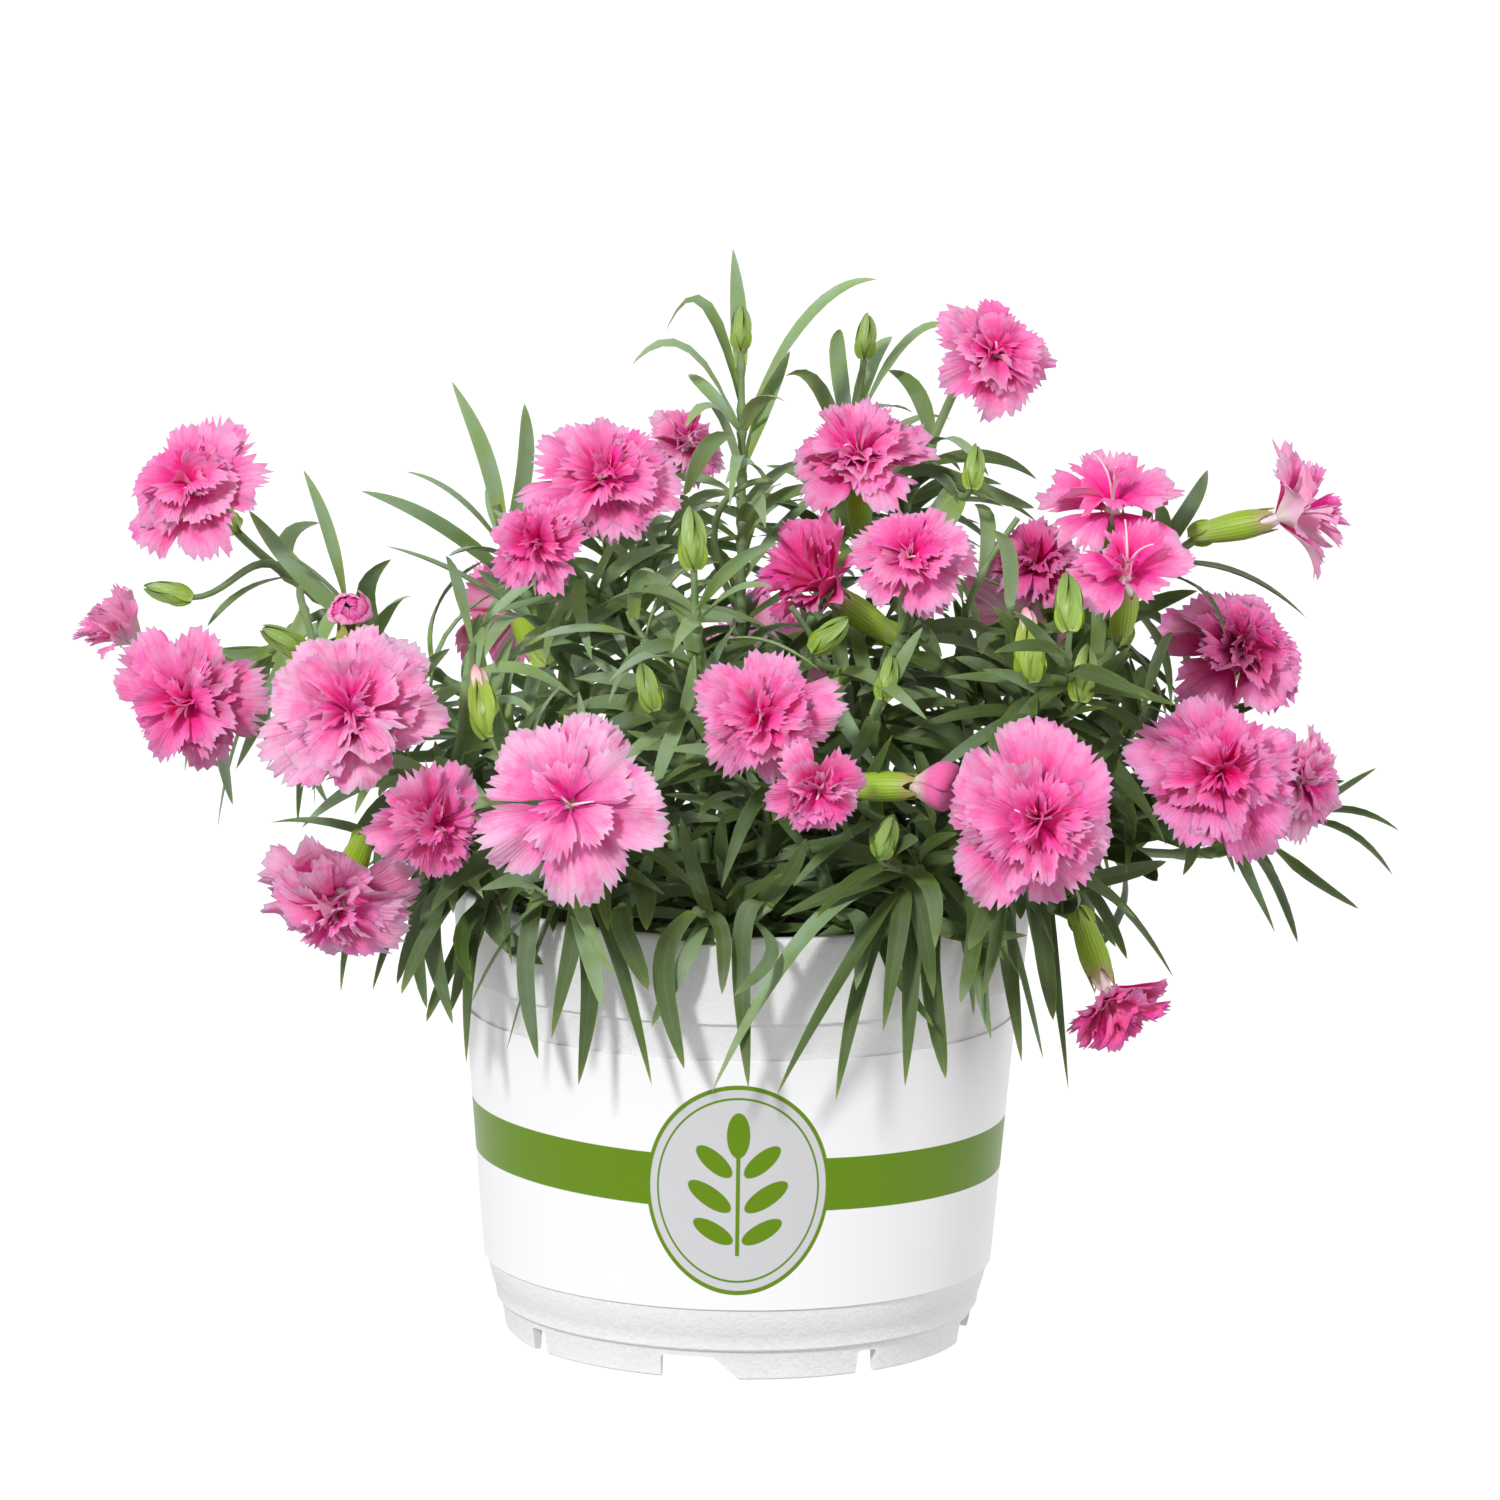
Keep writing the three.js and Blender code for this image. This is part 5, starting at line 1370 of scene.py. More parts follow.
def leaf_finish():
    """Waxy blue-green blades, paler at the foot, the midrib and the tips; by tone they run from a dark
    olive that is partly painted shade to a pale green that is partly painted light.
    """
    finish, tree, shader = new_finish("dianthus_leaf", 0.5, Specular_IOR_Level=0.32,
                                      Subsurface_Weight=0.22, Subsurface_Radius=(0.008, 0.012, 0.002),
                                      Sheen_Weight=0.06, Sheen_Roughness=0.5)
    across, along = shares_of(tree)
    tone = tone_of(tree)
    where = own_place(tree)
    cloud = noise_at(tree, 110, where, detail=3)
    older_and_shaded = graded(tree, along, [(0, colour(130, 150, 48)), (0.14, colour(84, 104, 36)),
                               (0.5, colour(68, 89, 31)), (0.9, colour(74, 95, 34)),
                               (1, colour(112, 122, 52))])
    younger_and_sunlit = graded(tree, along, [(0, colour(178, 198, 78)), (0.2, colour(150, 176, 84)),
                                 (0.6, colour(140, 170, 102)), (1, colour(150, 174, 98))])
    # Dark olive for older leaves and painted shade, pale green for younger leaves and painted light,
    # blended by the tone.
    tint = blended(tree, graded(tree, tone, [(0.25, 0.0), (0.8, 1.0)]), older_and_shaded, younger_and_sunlit)
    bloomy = graded(tree, cloud, [(0.35, 0.0), (0.7, 0.8)])
    # The grey-blue waxy bloom is the leaf's own coat, but it grows with the tone, so it is also a painted
    # sheen on the leaves painted sunlit.
    waxy_and_sunlit = product(tree, bloomy, summed(tree, product(tree, tone, 0.9), 0.1))
    tint = blended(tree, waxy_and_sunlit, tint, colour(158, 184, 166))
    rib = arithmetic(tree, "ABSOLUTE", difference(tree, across, 0.5))
    midrib = graded(tree, rib, [(0.0, 0.1), (0.04, 0.06), (0.08, 0.0)])
    tint = blended(tree, midrib, tint, colour(140, 168, 112))
    fan = add_node(tree, "CombineXYZ", {0: across, 1: product(tree, along, 0.02)}).outputs[0]
    waves = add_node(tree, "TexWave", {"Vector": fan, "Scale": 3.2, "Distortion": 0.6})
    veins = waves.outputs["Fac"]
    darker = blended(tree, product(tree, veins, 0.07), tint, colour(52, 82, 48))
    tree.links.new(darker, shader.inputs["Base Color"])
    bumped(tree, shader, veins, 0.2, 0.0002)
    return finish


def stem_finish():
    finish, tree, shader = new_finish("dianthus_stem", 0.5)
    where = own_place(tree)
    cloud = noise_at(tree, 150, where, detail=3)
    tint = graded(tree, cloud, [(0.3, colour(108, 138, 84)), (0.55, colour(128, 150, 102)),
                                (0.8, colour(150, 172, 122))])
    tree.links.new(tint, shader.inputs["Base Color"])
    bumped(tree, shader, cloud, 0.2, 0.0002)
    return finish


def calyx_finish():
    finish, tree, shader = new_finish("dianthus_calyx", 0.42, Subsurface_Weight=0.12,
                                      Subsurface_Radius=(0.001, 0.0016, 0.0005))
    around, along = shares_of(tree)
    tint = graded(tree, along, [(0, colour(186, 204, 122)), (0.2, colour(168, 198, 78)),
                                (0.7, colour(160, 194, 44)), (0.92, colour(158, 184, 62)),
                                (1, colour(178, 170, 96))])
    ribs = arithmetic(tree, "SINE", product(tree, around, 2 * math.pi * CALYX_RIBS))
    ribs = summed(tree, product(tree, ribs, 0.5), 0.5)
    tint = blended(tree, product(tree, ribs, 0.16), tint, colour(104, 142, 30))
    tree.links.new(tint, shader.inputs["Base Color"])
    bumped(tree, shader, ribs, 0.3, 0.0002)
    return finish


def bud_finish():
    finish, tree, shader = new_finish("dianthus_bud", 0.44)
    around, along = shares_of(tree)
    tone = tone_of(tree)
    green = graded(tree, along, [(0, colour(158, 188, 104)), (0.35, colour(146, 176, 84)),
                                 (0.75, colour(134, 162, 82)), (1, colour(118, 142, 76))])
    riper = graded(tree, along, [(0, colour(166, 192, 84)), (0.6, colour(166, 190, 74)),
                                 (0.85, colour(176, 180, 104)), (1, colour(190, 160, 120))])
    tint = blended(tree, graded(tree, tone, [(0.8, 0.0), (0.9, 1.0)]), green, riper)
    seams = arithmetic(tree, "COSINE", product(tree, around, 2 * math.pi * BUD_TEETH))
    seams = summed(tree, product(tree, seams, 0.5), 0.5)
    seams = graded(tree, seams, [(0.86, 0.0), (1.0, 0.4)])
    tint = blended(tree, seams, tint, colour(84, 116, 40))
    tree.links.new(tint, shader.inputs["Base Color"])
    return finish


def tip_finish():
    finish, tree, shader = new_finish("dianthus_bud_tip", 0.55, Subsurface_Weight=0.3,
                                      Subsurface_Radius=(0.002, 0.001, 0.0015))
    _, along = shares_of(tree)
    tint = graded(tree, along, [(0.2, colour(226, 216, 176)), (0.6, colour(244, 206, 210)),
                                (1, colour(232, 132, 160))])
    tree.links.new(tint, shader.inputs["Base Color"])
    return finish


GREENS = [leaf_finish(), stem_finish(), calyx_finish(), bud_finish(), tip_finish()]


def unfolded(base, bend, tip):
    """The bend of a leaf; where it rises steeply to its tip, the bend stays below the tip."""
    rise = tip[2] - base[2]
    if math.hypot(tip[0] - base[0], tip[1] - base[1]) > 0.6 * rise:
        return bend
    return bend[0], bend[1], min(bend[2], tip[2] - 2)


def leafy_stem(stem):
    """One grown body of a stem with its forks, leaves, calyxes and buds."""
    growth = Growth()
    draw = dice(SEED_GROWTH + sum(map(ord, stem["name"])))
    for branch in [stem["main"]] + stem["forks"]:
        joints = [leaf["place"] for leaf in stem["leaves"] if leaf["branch"] is branch]
        if branch is stem["main"]:
            joints += [fork["spec"]["at"] for fork in stem["forks"]]
        _, _, side = add_branch(growth, branch, sorted(set(joints)), branch is stem["main"], draw(0, 1))
        end, front, size = branch["tip"]
        spec = branch["spec"]
        if not front:
            continue
        side = squared(side, front)
        if spec.get("bloom"):
            add_calyx(growth, end, front, side, draw(0, 1))
        else:
            add_bud(growth, end, front, side, size, 0.95 if spec["bud"] in RIPE_BUDS else 0.3)
    for leaf in stem["leaves"]:
        _, bend, tip = leaf["points"]
        base = curve_point(leaf["branch"]["points"], leaf["place"])
        bend = unfolded(base, bend, tip)
        low = tip[2] < SHADED
        higher = (max(tip[2], base[2]) - SUNNY_HEIGHT) / SUNNY_RANGE
        sunny = min(0.6, higher - (tip[0] - SUNNY_SIDE) / SUNNY_WIDTH)
        # The tone mixes a random age with painted light: leaves hanging low are painted darker as shade,
        # and high leaves and those to the left are painted paler where the key lamp falls.
        tone = min(1.0, max(0.0, draw(-0.9, 0.6) if low else draw(-0.15, 0.8) + sunny))
        width = leaf["width"] * (draw(0.74, 1.12) if low else draw(0.74, 1.0))
        toward = (0.0, -0.94 if base[1] < 25 else 0.94, 0.35)
        rows = LONG_LEAF_ROWS if apart(base, tip) > LONG_LEAF else LEAF_ROWS
        add_leaf(growth, (base, bend, tip), width, tone, math.radians(draw(-40, 40)), rows,
                 blunt=draw(0.3, 1.1) if low else draw(0.0, 0.6), light=(toward, draw(0.1, 0.7)),
                 bow=draw(-6.5, 6.5) if low else draw(-2.2, 2.2))
    piece = growth.build("stem_" + stem["name"] + "_grown")
    return finish_piece(piece, GREENS, "foliage", "stem_" + stem["name"])


for stem in stems:
    leafy_stem(stem)

# ---------------------------------------------------------------- blooms
# Each bloom is a loose rosette of thin, velvety petals, every one a fan with a toothed rim on a narrow
# white claw: the outer ones broad and pale, the inner ones shorter, folded, upright and deeper pink,
# a deep pink that is partly their own and partly painted shade among the petals.
PETAL_FACE, PETAL_STYLE, PETAL_REVERSE = 0, 1, 2
HUB_LOW = 0.4
HUB_STEP = 1.1
PETAL_THICK = 0.3
PETAL_ROWS = 8
TOOTH_PITCH = 1.9
TOOTH_DEPTH = (0.6, 1.9)
TOOTH_SPLIT = 3.2
BEHIND_TEETH = 0.17
CLAW_WIDTH = 0.55
SINGLE_CLAW = 0.95
GAP = 0.35
ROLLED_TURN = 2.4
SEED_PETALS = 5000
BALL_LIFT = 34
BALL_MIDDLE = 1.6
# Whorls that the solids have: tilt above the flower's plane, reach, half spread and wave.
MAIN_WHORLS = {
    "full": ((4, 1, 32, 0.1), (30, 0.8, 32, 0.12), (60, 0.6, 30, 0.1)),
    "open": ((6, 1, 32, 0.1), (38, 0.8, 32, 0.12)),
    "small": ((12, 1, 32, 0.1), (44, 0.85, 31, 0.12)),
    "cup": ((38, 1.1, 31, 0.08), (62, 1, 28, 0.06)),
}
# Whorls between and above them: petals, tilt, reach, half spread, wave and fold.
INNER_WHORLS = {
    "full": ((4, 18, 0.9, 46, 0.12, 0.0), (3, 38, 0.78, 60, 0.16, 0.05), (3, 56, 0.64, 62, 0.18, 0.1)),
    "open": ((4, 20, 0.9, 46, 0.12, 0.0), (3, 42, 0.78, 58, 0.16, 0.05), (3, 60, 0.62, 62, 0.18, 0.1)),
    "small": ((4, 26, 0.95, 44, 0.12, 0.0), (3, 46, 0.86, 56, 0.16, 0.1), (3, 62, 0.7, 60, 0.16, 0.15)),
    "cup": ((3, 50, 1.05, 50, 0.12, 0.05), (3, 64, 0.88, 52, 0.14, 0.15)),
}
CURLS = {"full": 46, "open": 40, "small": 40, "cup": 20}
OPEN_HEARTS = ("left_pale", "left_high", "top_middle")
AIRY = ("front_left",)
# Blooms that are larger and opened wider than their solids by a little.
LOOSER = {"right_side": (1.12, -0.1), "left_edge": (1.25, 0.8), "far_right_high": (1.06, 0.1),
          "right_hanging": (1.16, -0.12), "left_hanging": (1.16, 0.0), "left_ball": (1.16, 0.1)}
# Blooms with few petals, and how long their two white styles stand out.
SINGLE = {"right_flat": 12, "right_upper": 13, "right_side": 7}
# Where a style bends, as shares of its length up and out: one that stands, one that curls over.
LONG_STYLE = ((0.45, 0.02), (0.8, 0.12), (1.0, 0.42))
CURLED_STYLE = ((0.9, 0.05), (1.15, 0.8), (0.7, 0.75))
# The palette of each bloom, rose where none is listed. Blooms differ in their own pink, and the palettes
# also paint light: left_hanging and centre_behind, which hang in shade, get the pale one as painted light,
# and centre_side, far_right_high and right_behind get the deep and plum ones as painted shade.
TINTS = {
    "left_pale": "pale", "front_left": "pale", "right_side": "pale",
    "left_hanging": "pale", "centre_behind": "pale", "far_right_low": "pale",
    "centre_small": "deep", "centre_side": "deep", "half_open": "deep",
    "right_hanging": "deep", "far_right_front": "deep", "far_right_high": "shaded_plum",
    "right_behind": "shaded_plum",
}


def main_whorls(head, draw):
    """The whorls that the solids have, with the same draws."""
    start = draw(0, 2 * math.pi)
    whorls = []
    for level, (tilt, reach, spread, wave) in enumerate(MAIN_WHORLS[head["form"]]):
        petals = []
        for i in range(5):
            turn = start + (i + level * 0.5) * 2 * math.pi / 5 + math.radians(draw(-2, 2))
            rise = math.radians(tilt + draw(-6, 6))
            length = head["radius"] * reach * draw(0.9, 1.02)
            petals.append(dict(turn=turn, tilt=rise, length=length, foot=HUB_LOW + level * HUB_STEP,
                               spread=math.radians(spread), wave=wave, phase=draw(0, 2 * math.pi),
                               fold=0.0))
        whorls.append(petals)
    return whorls


def inner_whorls(head, draw):
    """The whorls that fill the bloom between the main ones, with looser turns."""
    whorls = []
    for level, (count, tilt, reach, spread, wave, fold) in enumerate(INNER_WHORLS[head["form"]]):
        start = draw(0, 2 * math.pi)
        petals = []
        for i in range(count):
            petals.append(dict(
                turn=start + i * 2 * math.pi / count + math.radians(draw(-16, 16)),
                tilt=math.radians(tilt + draw(-12, 12)), length=head["radius"] * reach * draw(0.8, 1.06),
                foot=HUB_LOW + 0.5 + level * 0.8, spread=math.radians(spread), wave=wave * draw(0.6, 1.4),
                phase=draw(0, 2 * math.pi), fold=fold * draw(0.2, 1.5)))
        whorls.append(petals)
    return whorls


def all_petals(head, main, draw):
    """Every petal of a bloom, each with its own bends; one side of the bloom stands up more."""
    single = head["name"] in SINGLE
    airy = head["name"] in AIRY
    broad = (0.95, 1.32)
    if head["form"] == "cup" or head["name"] == "left_edge":
        broad = (1.15, 1.45)
    elif single or airy:
        broad = (0.9, 1.2)
    larger, drop = LOOSER.get(head["name"], (1.0, 0.0))
    whorls = main + inner_whorls(head, draw)
    if single:
        whorls = main[:2] if head["form"] == "cup" else [main[0], main[1][::2], whorls[-1][:2]]
    if airy:
        whorls = [main[0], whorls[-3][:2], main[1][::2], main[-1][:2], whorls[-1][:1]]
    upright = draw(0, 2 * math.pi)
    aside = draw(0.06, 0.16) * head["radius"]
    if head["name"] in OPEN_HEARTS:
        whorls[-1] = [petal for petal in whorls[-1] if math.cos(petal["turn"] - upright) < 0.2]
    petals = [petal for whorl in whorls for petal in whorl]
    # A petal's tone rises as it stands upright, so the inner petals get the deeper pink that partly paints
    # the shade in the heart.
    for petal in petals:
        inward = min(1.0, petal["tilt"] / (math.pi / 2))
        leaning = math.cos(petal["turn"] - upright)
        shift = -aside * inward
        petal.update(
            tilt=petal["tilt"] + drop + 0.2 * leaning + draw(-0.14, 0.14),
            length=petal["length"] * larger * draw(0.86, 1.1),
            spread=petal["spread"] * draw(*broad), twist=draw(-0.18, 0.22) * (0.5 + inward),
            cup=draw(-0.2, 0.3) * (0.5 + inward),
            pleat=draw(0.02, 0.065) * (1 + inward), pleats=draw(1.8, 3.6),
            frill=draw(0.02, 0.06) * (1 + inward), crease=draw(-0.4, 0.4), hook=draw(-0.12, 0.3),
            round=draw(0.08, 0.24), skew=draw(-0.15, 0.15), claw=SINGLE_CLAW if single else CLAW_WIDTH,
            aside=(shift * math.cos(upright), shift * math.sin(upright)),
            tone=min(1.0, max(0.0, 0.95 * inward + draw(-0.12, 0.2))))
    return petals


def rim_teeth(teeth, length, draw):
    """Swing across and share held back at each column: pointed teeth of uneven width and depth."""
    swing = []
    back = []
    for column in range(2 * teeth + 1):
        inside = 0 < column < 2 * teeth
        swing.append((column + (draw(-0.45, 0.45) if inside else 0)) / teeth - 1)
        split = TOOTH_SPLIT if draw(0, 1) < 0.16 else 0
        depth = max(split, draw(*TOOTH_DEPTH)) if column % 2 == 0 else draw(0, 0.45)
        back.append(min(depth / length, BEHIND_TEETH - 0.005))
    return np.array(swing), np.array(back)


def petal_sheet(petal, curl, draw):
    """The middle sheet of a petal as rows and columns of places, with shares across and along."""
    length, spread, phase = petal["length"], petal["spread"], petal["phase"]
    teeth = max(4, round(2 * spread * length / TOOTH_PITCH))
    swing, back = rim_teeth(teeth, length, draw)
    rim = (1 - petal["round"] * swing ** 2 + petal["skew"] * swing * (1 - swing ** 2)
           - 0.07 * np.abs(swing) ** 7)
    rows = np.append(np.linspace(0.07, 1, PETAL_ROWS) ** 0.85, 1.0)
    out = rows[:, None] * (rim - BEHIND_TEETH)[None, :]
    out[-1] = rim - back
    swing = np.tile(swing, (len(rows), 1))
    reach = length * out
    sway = (petal["twist"] * swing * spread
            + petal["cup"] * swing ** 2 * out
            + petal["fold"] * np.abs(swing - petal["crease"]) * out
            + petal["wave"] * out * np.sin(swing * 1.5 * np.pi + phase)
            + petal["pleat"] * out * np.sin(swing * petal["pleats"] * np.pi + 2 * phase)
            + petal["frill"] * out ** 3 * np.sin(swing * 8 + 5 * phase + 2 * out)
            + 0.04 * np.sin(2.6 * swing + phase) * np.sin(5 * out + 3 * phase)
            + 0.018 * np.sin(8 * swing + 4 * phase) * np.sin(9 * out + phase))
    lift = reach * sway
    tilt = petal["tilt"] + curl * (0.5 - out / 2) - petal["hook"] * out ** 3
    flat = reach * np.cos(tilt) - lift * np.sin(tilt)
    high = petal["foot"] + reach * np.sin(tilt) + lift * np.cos(tilt)
    fan = petal["claw"] + (1 - petal["claw"]) * np.minimum(1, out / 0.5)
    angle = petal["turn"] + swing * spread * fan
    moved = np.minimum(1, out / 0.5)
    places = np.stack([flat * np.cos(angle) + moved * petal["aside"][0],
                       flat * np.sin(angle) + moved * petal["aside"][1], high], -1)
    return places, np.stack([swing / 2 + 0.5, out], -1)


def roll_sheet(petal, closed, draw):
    """A petal still rolled in its bud or its ball, one edge outside the other."""
    swing, back = rim_teeth(9, petal["length"], draw)
    back = back * (0.4 if closed else 1)
    rows = np.append(np.linspace(0.0, 1, PETAL_ROWS + 2), 1.0)
    out = rows[:, None] * (0.88 - 0.05 * swing ** 2)[None, :]
    out[-1] = 1 - 0.05 * swing ** 2 - back
    swing = np.tile(swing, (len(rows), 1))
    if closed:
        arc = np.pi * np.minimum(0.985, 0.08 + petal["shut"] * out)
        ripple = 0.16 * np.sin(9 * swing + 3 * petal["turn"]) * out
        radius = (petal["belly"] + 0.6 * swing + ripple) * np.sin(arc)
        angle = petal["turn"] + swing * 0.85 + 0.9 * out + 0.12 * np.sin(6 * out + petal["turn"])
        high = -(petal["belly"] + ripple) * np.cos(arc)
    else:
        swell = np.sin(0.92 * np.pi * out ** 1.3)
        radius = 1.5 * (1 - out) + (petal["belly"] - 0.5) * swell + (0.3 + 0.25 * swell) * swing
        angle = petal["turn"] + swing * 1.35 + 0.9 * out
        high = petal["foot"] + petal["length"] * out
    places = np.stack([radius * np.cos(angle), radius * np.sin(angle), high], -1)
    return places, np.stack([swing / 2 + 0.5, out], -1)


def add_sheet(growth, places, shares, tone, reverse=PETAL_REVERSE):
    """A thin closed petal: its sheet doubled, the two sides meeting along the rim."""
    rows, columns = places.shape[:2]
    down = np.gradient(places, axis=0)
    over = np.gradient(places, axis=1)
    normal = np.cross(down, over)
    normal /= np.maximum(np.linalg.norm(normal, axis=2), 1e-9)[:, :, None]
    upper = places.copy()
    upper[1:-1, 1:-1] += normal[1:-1, 1:-1] * PETAL_THICK / 2
    under = (places - normal * PETAL_THICK / 2)[1:-1, 1:-1]
    top = np.arange(rows * columns).reshape(rows, columns)
    bottom = top.copy()
    inner = np.arange((rows - 2) * (columns - 2)).reshape(rows - 2, columns - 2)
    bottom[1:-1, 1:-1] = rows * columns + inner
    faces = []
    for i in range(rows - 1):
        for j in range(columns - 1):
            faces.append([top[i, j], top[i + 1, j], top[i + 1, j + 1], top[i, j + 1]])
            faces.append([bottom[i, j], bottom[i, j + 1], bottom[i + 1, j + 1], bottom[i + 1, j]])
    corners = np.concatenate([upper.reshape(-1, 3), under.reshape(-1, 3)])
    all_shares = np.concatenate([shares.reshape(-1, 2), shares[1:-1, 1:-1].reshape(-1, 2)])
    growth.add(corners, faces, all_shares, tone, [PETAL_FACE, reverse] * (len(faces) // 2))


def turn_from_up(front):
    """The shortest turn that brings +Z to a direction, as a matrix."""
    return np.array(Vector((0, 0, 1)).rotation_difference(Vector(front)).to_matrix())


def neighbours_of(head):
    """For each near neighbour, the direction to it and how far this bloom may reach that way."""
    limits = []
    for other in HEADS.values():
        distance = apart(head["at"], other["at"])
        if other is head or distance > head["radius"] + other["radius"] + 2:
            continue
        share = distance * head["radius"] / (head["radius"] + other["radius"])
        limits.append((np.array(unit(plus(other["at"], head["at"], -1))), share - GAP / 2 - 0.2))
    return limits


def settled(head, soft=3.0):
    """A function that places a petal on its bloom and bends it back softly before each neighbour."""
    turn = turn_from_up(head["front"])
    limits = neighbours_of(head)

    def settle(places):
        placed = places @ turn.T
        for toward, limit in limits:
            reach = placed @ toward
            past = np.maximum(0, reach - (limit - soft))
            bent = (limit - soft) + soft * (1 - np.exp(-past / soft))
            placed = placed + np.where(past > 0, bent - reach, 0)[..., None] * toward
        return placed + np.array(head["at"])
    return settle


def petal_finish(name, rim, middle, base, deep):
    """Velvety petals: paler to the rim, deeper in the heart and just above the claw, a deep pink that is
    partly their own and partly painted shade; with fine streaks, patches of painted light shining through,
    and a white claw.
    """
    finish, tree, shader = new_finish(name, 0.6, Specular_IOR_Level=0.06, Subsurface_Weight=0.72,
                                      Subsurface_Radius=(0.008, 0.002, 0.006))
    across, along = shares_of(tree)
    heart = tone_of(tree)
    fan = add_node(tree, "CombineXYZ", {0: product(tree, across, 34), 1: product(tree, along, 1.6),
                                        2: product(tree, heart, 40)})
    streaks = noise_at(tree, 1.0, fan.outputs[0], detail=2)
    claw = colour(250, 226, 236)
    # Outer petals turn deep pink just above the white claw, where the petals over them lie: partly painted
    # shade.
    outer = graded(tree, along, [(0.06, claw), (0.17, deep), (0.42, base), (0.62, middle), (0.84, rim),
                                 (1, rim)])
    inner = graded(tree, along, [(0.06, base), (0.25, deep), (0.6, deep), (0.84, base), (0.93, middle),
                                 (1, rim)])
    # Inner petals stay deep pink for most of their length: partly their own colour, partly painted shade
    # and reflected pink in the heart.
    tint = blended(tree, graded(tree, heart, [(0.15, 0.0), (0.85, 0.95)]), outer, inner)
    streaked = graded(tree, streaks, [(0.42, 0.0), (0.7, 0.26)])
    tint = blended(tree, streaked, tint, deep)
    where = own_place(tree)
    # Soft patches of deeper pink: painted light shining through the thin petals.
    painted_through_light = graded(tree, noise_at(tree, 230, where, detail=2), [(0.5, 0.0), (0.68, 0.42)])
    tint = blended(tree, painted_through_light, tint, deep)
    uneven = summed(tree, along, product(tree, streaks, 0.12))
    marks = graded(tree, uneven, [(0.14, 0.0), (0.19, 0.6), (0.23, 0.6), (0.3, 0.0)])
    tint = blended(tree, marks, tint, colour(186, 26, 92))
    tree.links.new(tint, shader.inputs["Base Color"])
    crumpled = summed(tree, streaks, noise_at(tree, 520, where, detail=2))
    bumped(tree, shader, crumpled, 0.6, 0.0007)
    return finish


def reverse_finish(name, claw, middle, rim):
    """The paler, veined outer side of the petals, greenish white at the claw."""
    finish, tree, shader = new_finish(name, 0.6, Specular_IOR_Level=0.06, Subsurface_Weight=0.72,
                                      Subsurface_Radius=(0.008, 0.002, 0.006))
    across, along = shares_of(tree)
    fan = add_node(tree, "CombineXYZ", {0: product(tree, across, 26), 1: product(tree, along, 1.4)})
    streaks = noise_at(tree, 1.0, fan.outputs[0], detail=2)
    tint = graded(tree, along, [(0.16, claw), (0.42, middle), (1, rim)])
    tint = blended(tree, graded(tree, streaks, [(0.42, 0.0), (0.7, 0.3)]), tint, rim)
    tree.links.new(tint, shader.inputs["Base Color"])
    bumped(tree, shader, streaks, 0.3, 0.0003)
    return finish


def style_finish():
    finish, tree, shader = new_finish("petal_style", 0.5, Subsurface_Weight=0.2,
                                      Subsurface_Radius=(0.001, 0.001, 0.001))
    _, along = shares_of(tree)
    tint = graded(tree, along, [(0, colour(214, 226, 160)), (0.3, colour(246, 232, 236)),
                                (1, colour(250, 214, 230))])
    tree.links.new(tint, shader.inputs["Base Color"])
    return finish


PETALS = {
    "pale": petal_finish("petal_pale", colour(240, 188, 216), colour(240, 160, 203), colour(242, 120, 186),
                         colour(250, 58, 166)),
    "rose": petal_finish("petal_rose", colour(239, 170, 208), colour(239, 132, 190), colour(242, 88, 172),
                         colour(250, 30, 152)),
    "deep": petal_finish("petal_deep", colour(239, 162, 207), colour(239, 118, 185), colour(241, 72, 164),
                         colour(245, 18, 140)),
    # The plum palette is a little darker than the deep one: painted shade for blooms deep in the plant.
    "shaded_plum": petal_finish("petal_plum", colour(238, 166, 208), colour(234, 118, 182), colour(230, 74, 162),
                         colour(228, 18, 126)),
}
REVERSES = {
    "pale": reverse_finish("petal_back_pale", colour(236, 238, 216), colour(248, 216, 232),
                           colour(246, 178, 212)),
    "rose": reverse_finish("petal_back_rose", colour(236, 232, 214), colour(248, 190, 218),
                           colour(246, 150, 198)),
    "deep": reverse_finish("petal_back_deep", colour(230, 222, 200), colour(240, 130, 184),
                           colour(232, 86, 156)),
    # The plum reverse is likewise darker: painted shade.
    "shaded_plum": reverse_finish("petal_back_plum", colour(222, 208, 192), colour(226, 124, 178),
                           colour(214, 76, 148)),
}
STYLES = style_finish()


def add_styles(growth, head, length, draw):
    """The bundle of claws that fills the calyx and the two white threads that stand on it."""
    front = head["front"]
    side = square_to(front)
    heights = (-3.4, -2.4, -1, 0.4, 1.8, 2.8)
    radii = (2.0, 2.3, 2.1, 1.7, 1.1, 0.3)
    stops = [plus(head["at"], front, height) for height in heights]
    lobes = 1 - 0.13 * np.cos(5 * 2 * np.pi * np.arange(20) / 20)
    radii = np.array(radii)[:, None] * lobes
    add_tube(growth, stops, [front] * 6, [side] * 6, radii, 0.9, PETAL_STYLE, 20)
    turn = draw(0, 2 * math.pi)
    for bearing in (turn, turn + draw(1.2, 2.6)):
        out = spoke(front, side, bearing)
        start = plus(head["at"], front, 2)
        bends = CURLED_STYLE if length < 10 else LONG_STYLE
        points = (start, *(off_axis(start, front, high * length, out, far * length) for high, far in bends))
        shares = [i / 12 for i in range(13)]
        alongs = [curve_along(points, share) for share in shares]
        sides = [squared(cross(front, out), along) for along in alongs]
        add_tube(growth, [curve_point(points, share) for share in shares], alongs, sides,
                 [blend(0.36, 0.18, share) for share in shares], 0.5, PETAL_STYLE, 6)


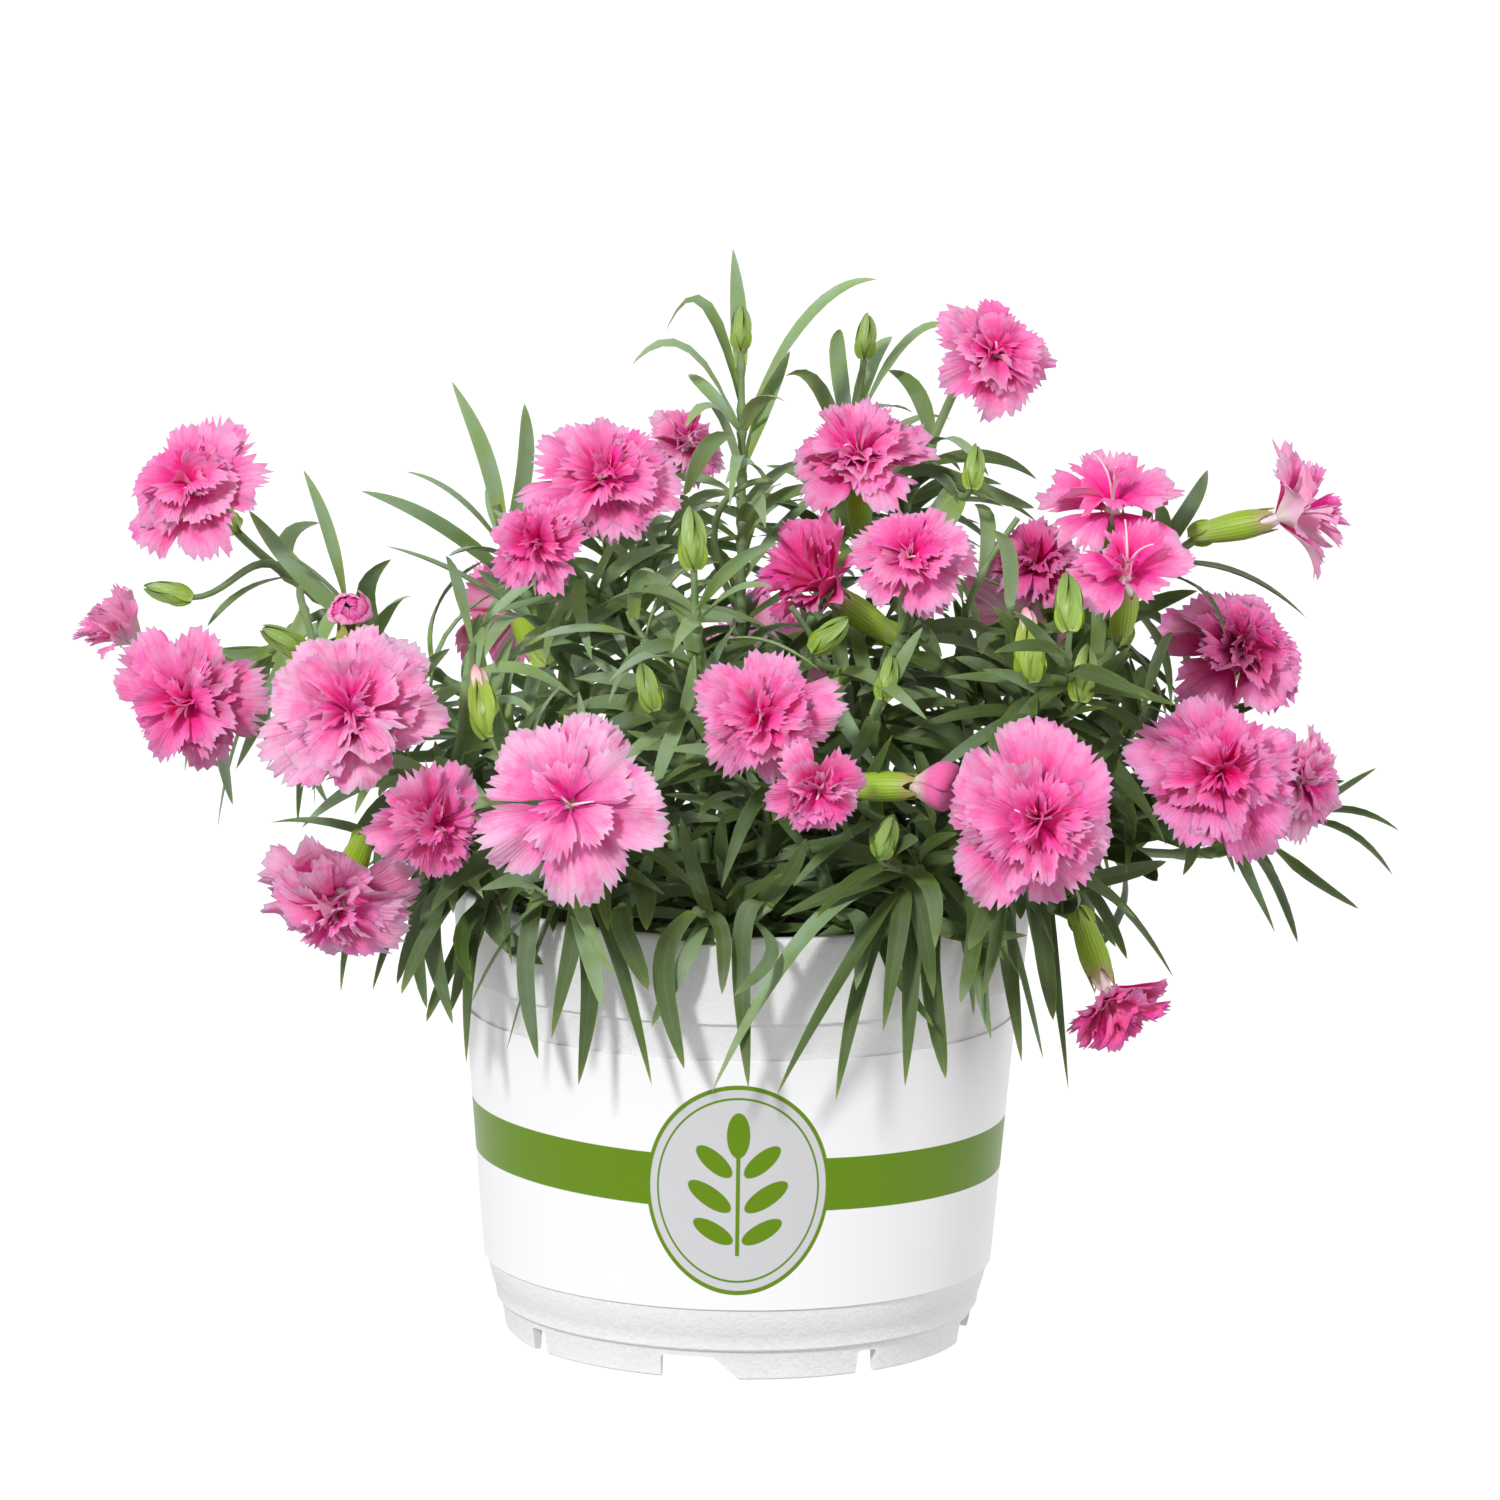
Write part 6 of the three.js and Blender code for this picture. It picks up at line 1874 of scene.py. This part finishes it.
def open_bloom(growth, index, head, draw):
    """A bloom's petals, each bent back from its neighbours, and its styles."""
    curl = math.radians(CURLS[head["form"]])
    settle = settled(head)
    for petal in all_petals(head, main_whorls(head, dice(SEED_BLOOMS + index)), draw):
        inward = min(1.0, petal["tilt"] / (math.pi / 2))
        places, shares = petal_sheet(petal, curl * (1 - 0.1 * inward) * draw(0.6, 1.3), draw)
        add_sheet(growth, settle(places), shares, petal["tone"])
    add_styles(growth, head, SINGLE.get(head["name"], 0.3 * head["radius"]), draw)


def turned_ball(head):
    """A ball of petals nods a little on its calyx, so that its ragged top looks forward."""
    return dict(head, front=facing(-90, BALL_LIFT), at=plus(head["at"], head["front"], BALL_MIDDLE))


def rolled_bloom(growth, head, draw):
    """A bud that opens: six petals rolled round each other, or a ball of them that is still shut."""
    closed = head["radius"] < 8
    belly, length = (4.9, 8.4) if closed else (5.5, head["radius"])
    settle = settled(turned_ball(head), 1.0) if closed else settled(head)
    for i in range(11 if closed else 6):
        petal = dict(turn=i * ROLLED_TURN + draw(-0.2, 0.2), foot=-1.5 + 0.1 * i, belly=belly - 0.17 * i,
                     shut=0.58 + 0.042 * i, length=(length + 1.5) * draw(0.9, 1.03) - 0.15 * i)
        places, shares = roll_sheet(petal, closed, draw)
        reverse = PETAL_FACE if closed and i > 4 else PETAL_REVERSE
        # Inner rolled petals get a higher tone and so a deeper pink, partly painted shade inside the bud.
        add_sheet(growth, settle(places), shares, min(1, 0.1 + 0.1 * i), reverse)


def bloom(index, head):
    growth = Growth()
    draw = dice(SEED_PETALS + index)
    if head["form"] == "rolled":
        rolled_bloom(growth, head, draw)
    else:
        open_bloom(growth, index, head, draw)
    piece = growth.build("bloom_" + head["name"] + "_petals")
    slot = "petals_pale" if head["form"] in ("full", "open") else "petals_deep"
    tint = TINTS.get(head["name"], "rose")
    return finish_piece(piece, [PETALS[tint], STYLES, REVERSES[tint]], slot, "bloom_" + head["name"])


for index, head in enumerate(HEADS.values()):
    bloom(index, head)

# ---------------------------------------------------------------- floor and light
# A pale seamless studio floor that glows a little, a soft key lamp from above left in front, broad
# lamps at the sides and behind, and even light from all round.
SKY = 0.42
LAMPS = {
    "key": dict(power=2.15, softness=7, source=(-0.45, -0.9, 0.65)),
    "right": dict(power=1.25, softness=50, source=(0.95, -0.4, 0.35)),
    "left": dict(power=0.65, softness=50, source=(-0.95, -0.3, 0.2)),
    "back": dict(power=0.5, softness=50, source=(0.1, 0.95, 0.3)),
}
FLOOR_GLOW = 0.95
FLOOR_GREY = (0.12, 0.12, 0.12, 1)
FLOOR_REACH = 3000


def build_floor():
    far = FLOOR_REACH
    corners = [(-far, -far, 0), (far, -far, 0), (far, far, 0), (-far, far, 0)]
    floor = body_mesh("floor", corners, [[0, 1, 2, 3]], smooth=False)
    finish, _, shader = new_finish("floor_white", 0.9)
    shader.inputs["Base Color"].default_value = FLOOR_GREY
    shader.inputs["Emission Color"].default_value = (1, 1, 1, 1)
    shader.inputs["Emission Strength"].default_value = FLOOR_GLOW
    floor.data.materials.append(finish)
    floor.visible_diffuse = False


def build_light():
    """Even light from all round, a key lamp in front and broad soft ones at the sides and behind."""
    world = bpy.data.worlds.new("studio")
    world.use_nodes = True
    tree = world.node_tree
    way = add_node(tree, "SeparateXYZ", {0: add_node(tree, "TexCoord").outputs["Generated"]})
    glow = graded(tree, way.outputs[2], [(0.0, SKY), (0.5, SKY * 0.9), (0.9, SKY)])
    tree.links.new(glow, tree.nodes["Background"].inputs["Color"])
    bpy.context.scene.world = world
    for name, lamp in LAMPS.items():
        light = bpy.data.lights.new(name, "SUN")
        light.energy = lamp["power"]
        light.angle = math.radians(lamp["softness"])
        holder = bpy.data.objects.new(name, light)
        holder.rotation_euler = Vector(lamp["source"]).to_track_quat("Z", "Y").to_euler()
        bpy.context.scene.collection.objects.link(holder)
    bpy.context.scene.view_settings.view_transform = "Standard"


build_floor()
build_light()
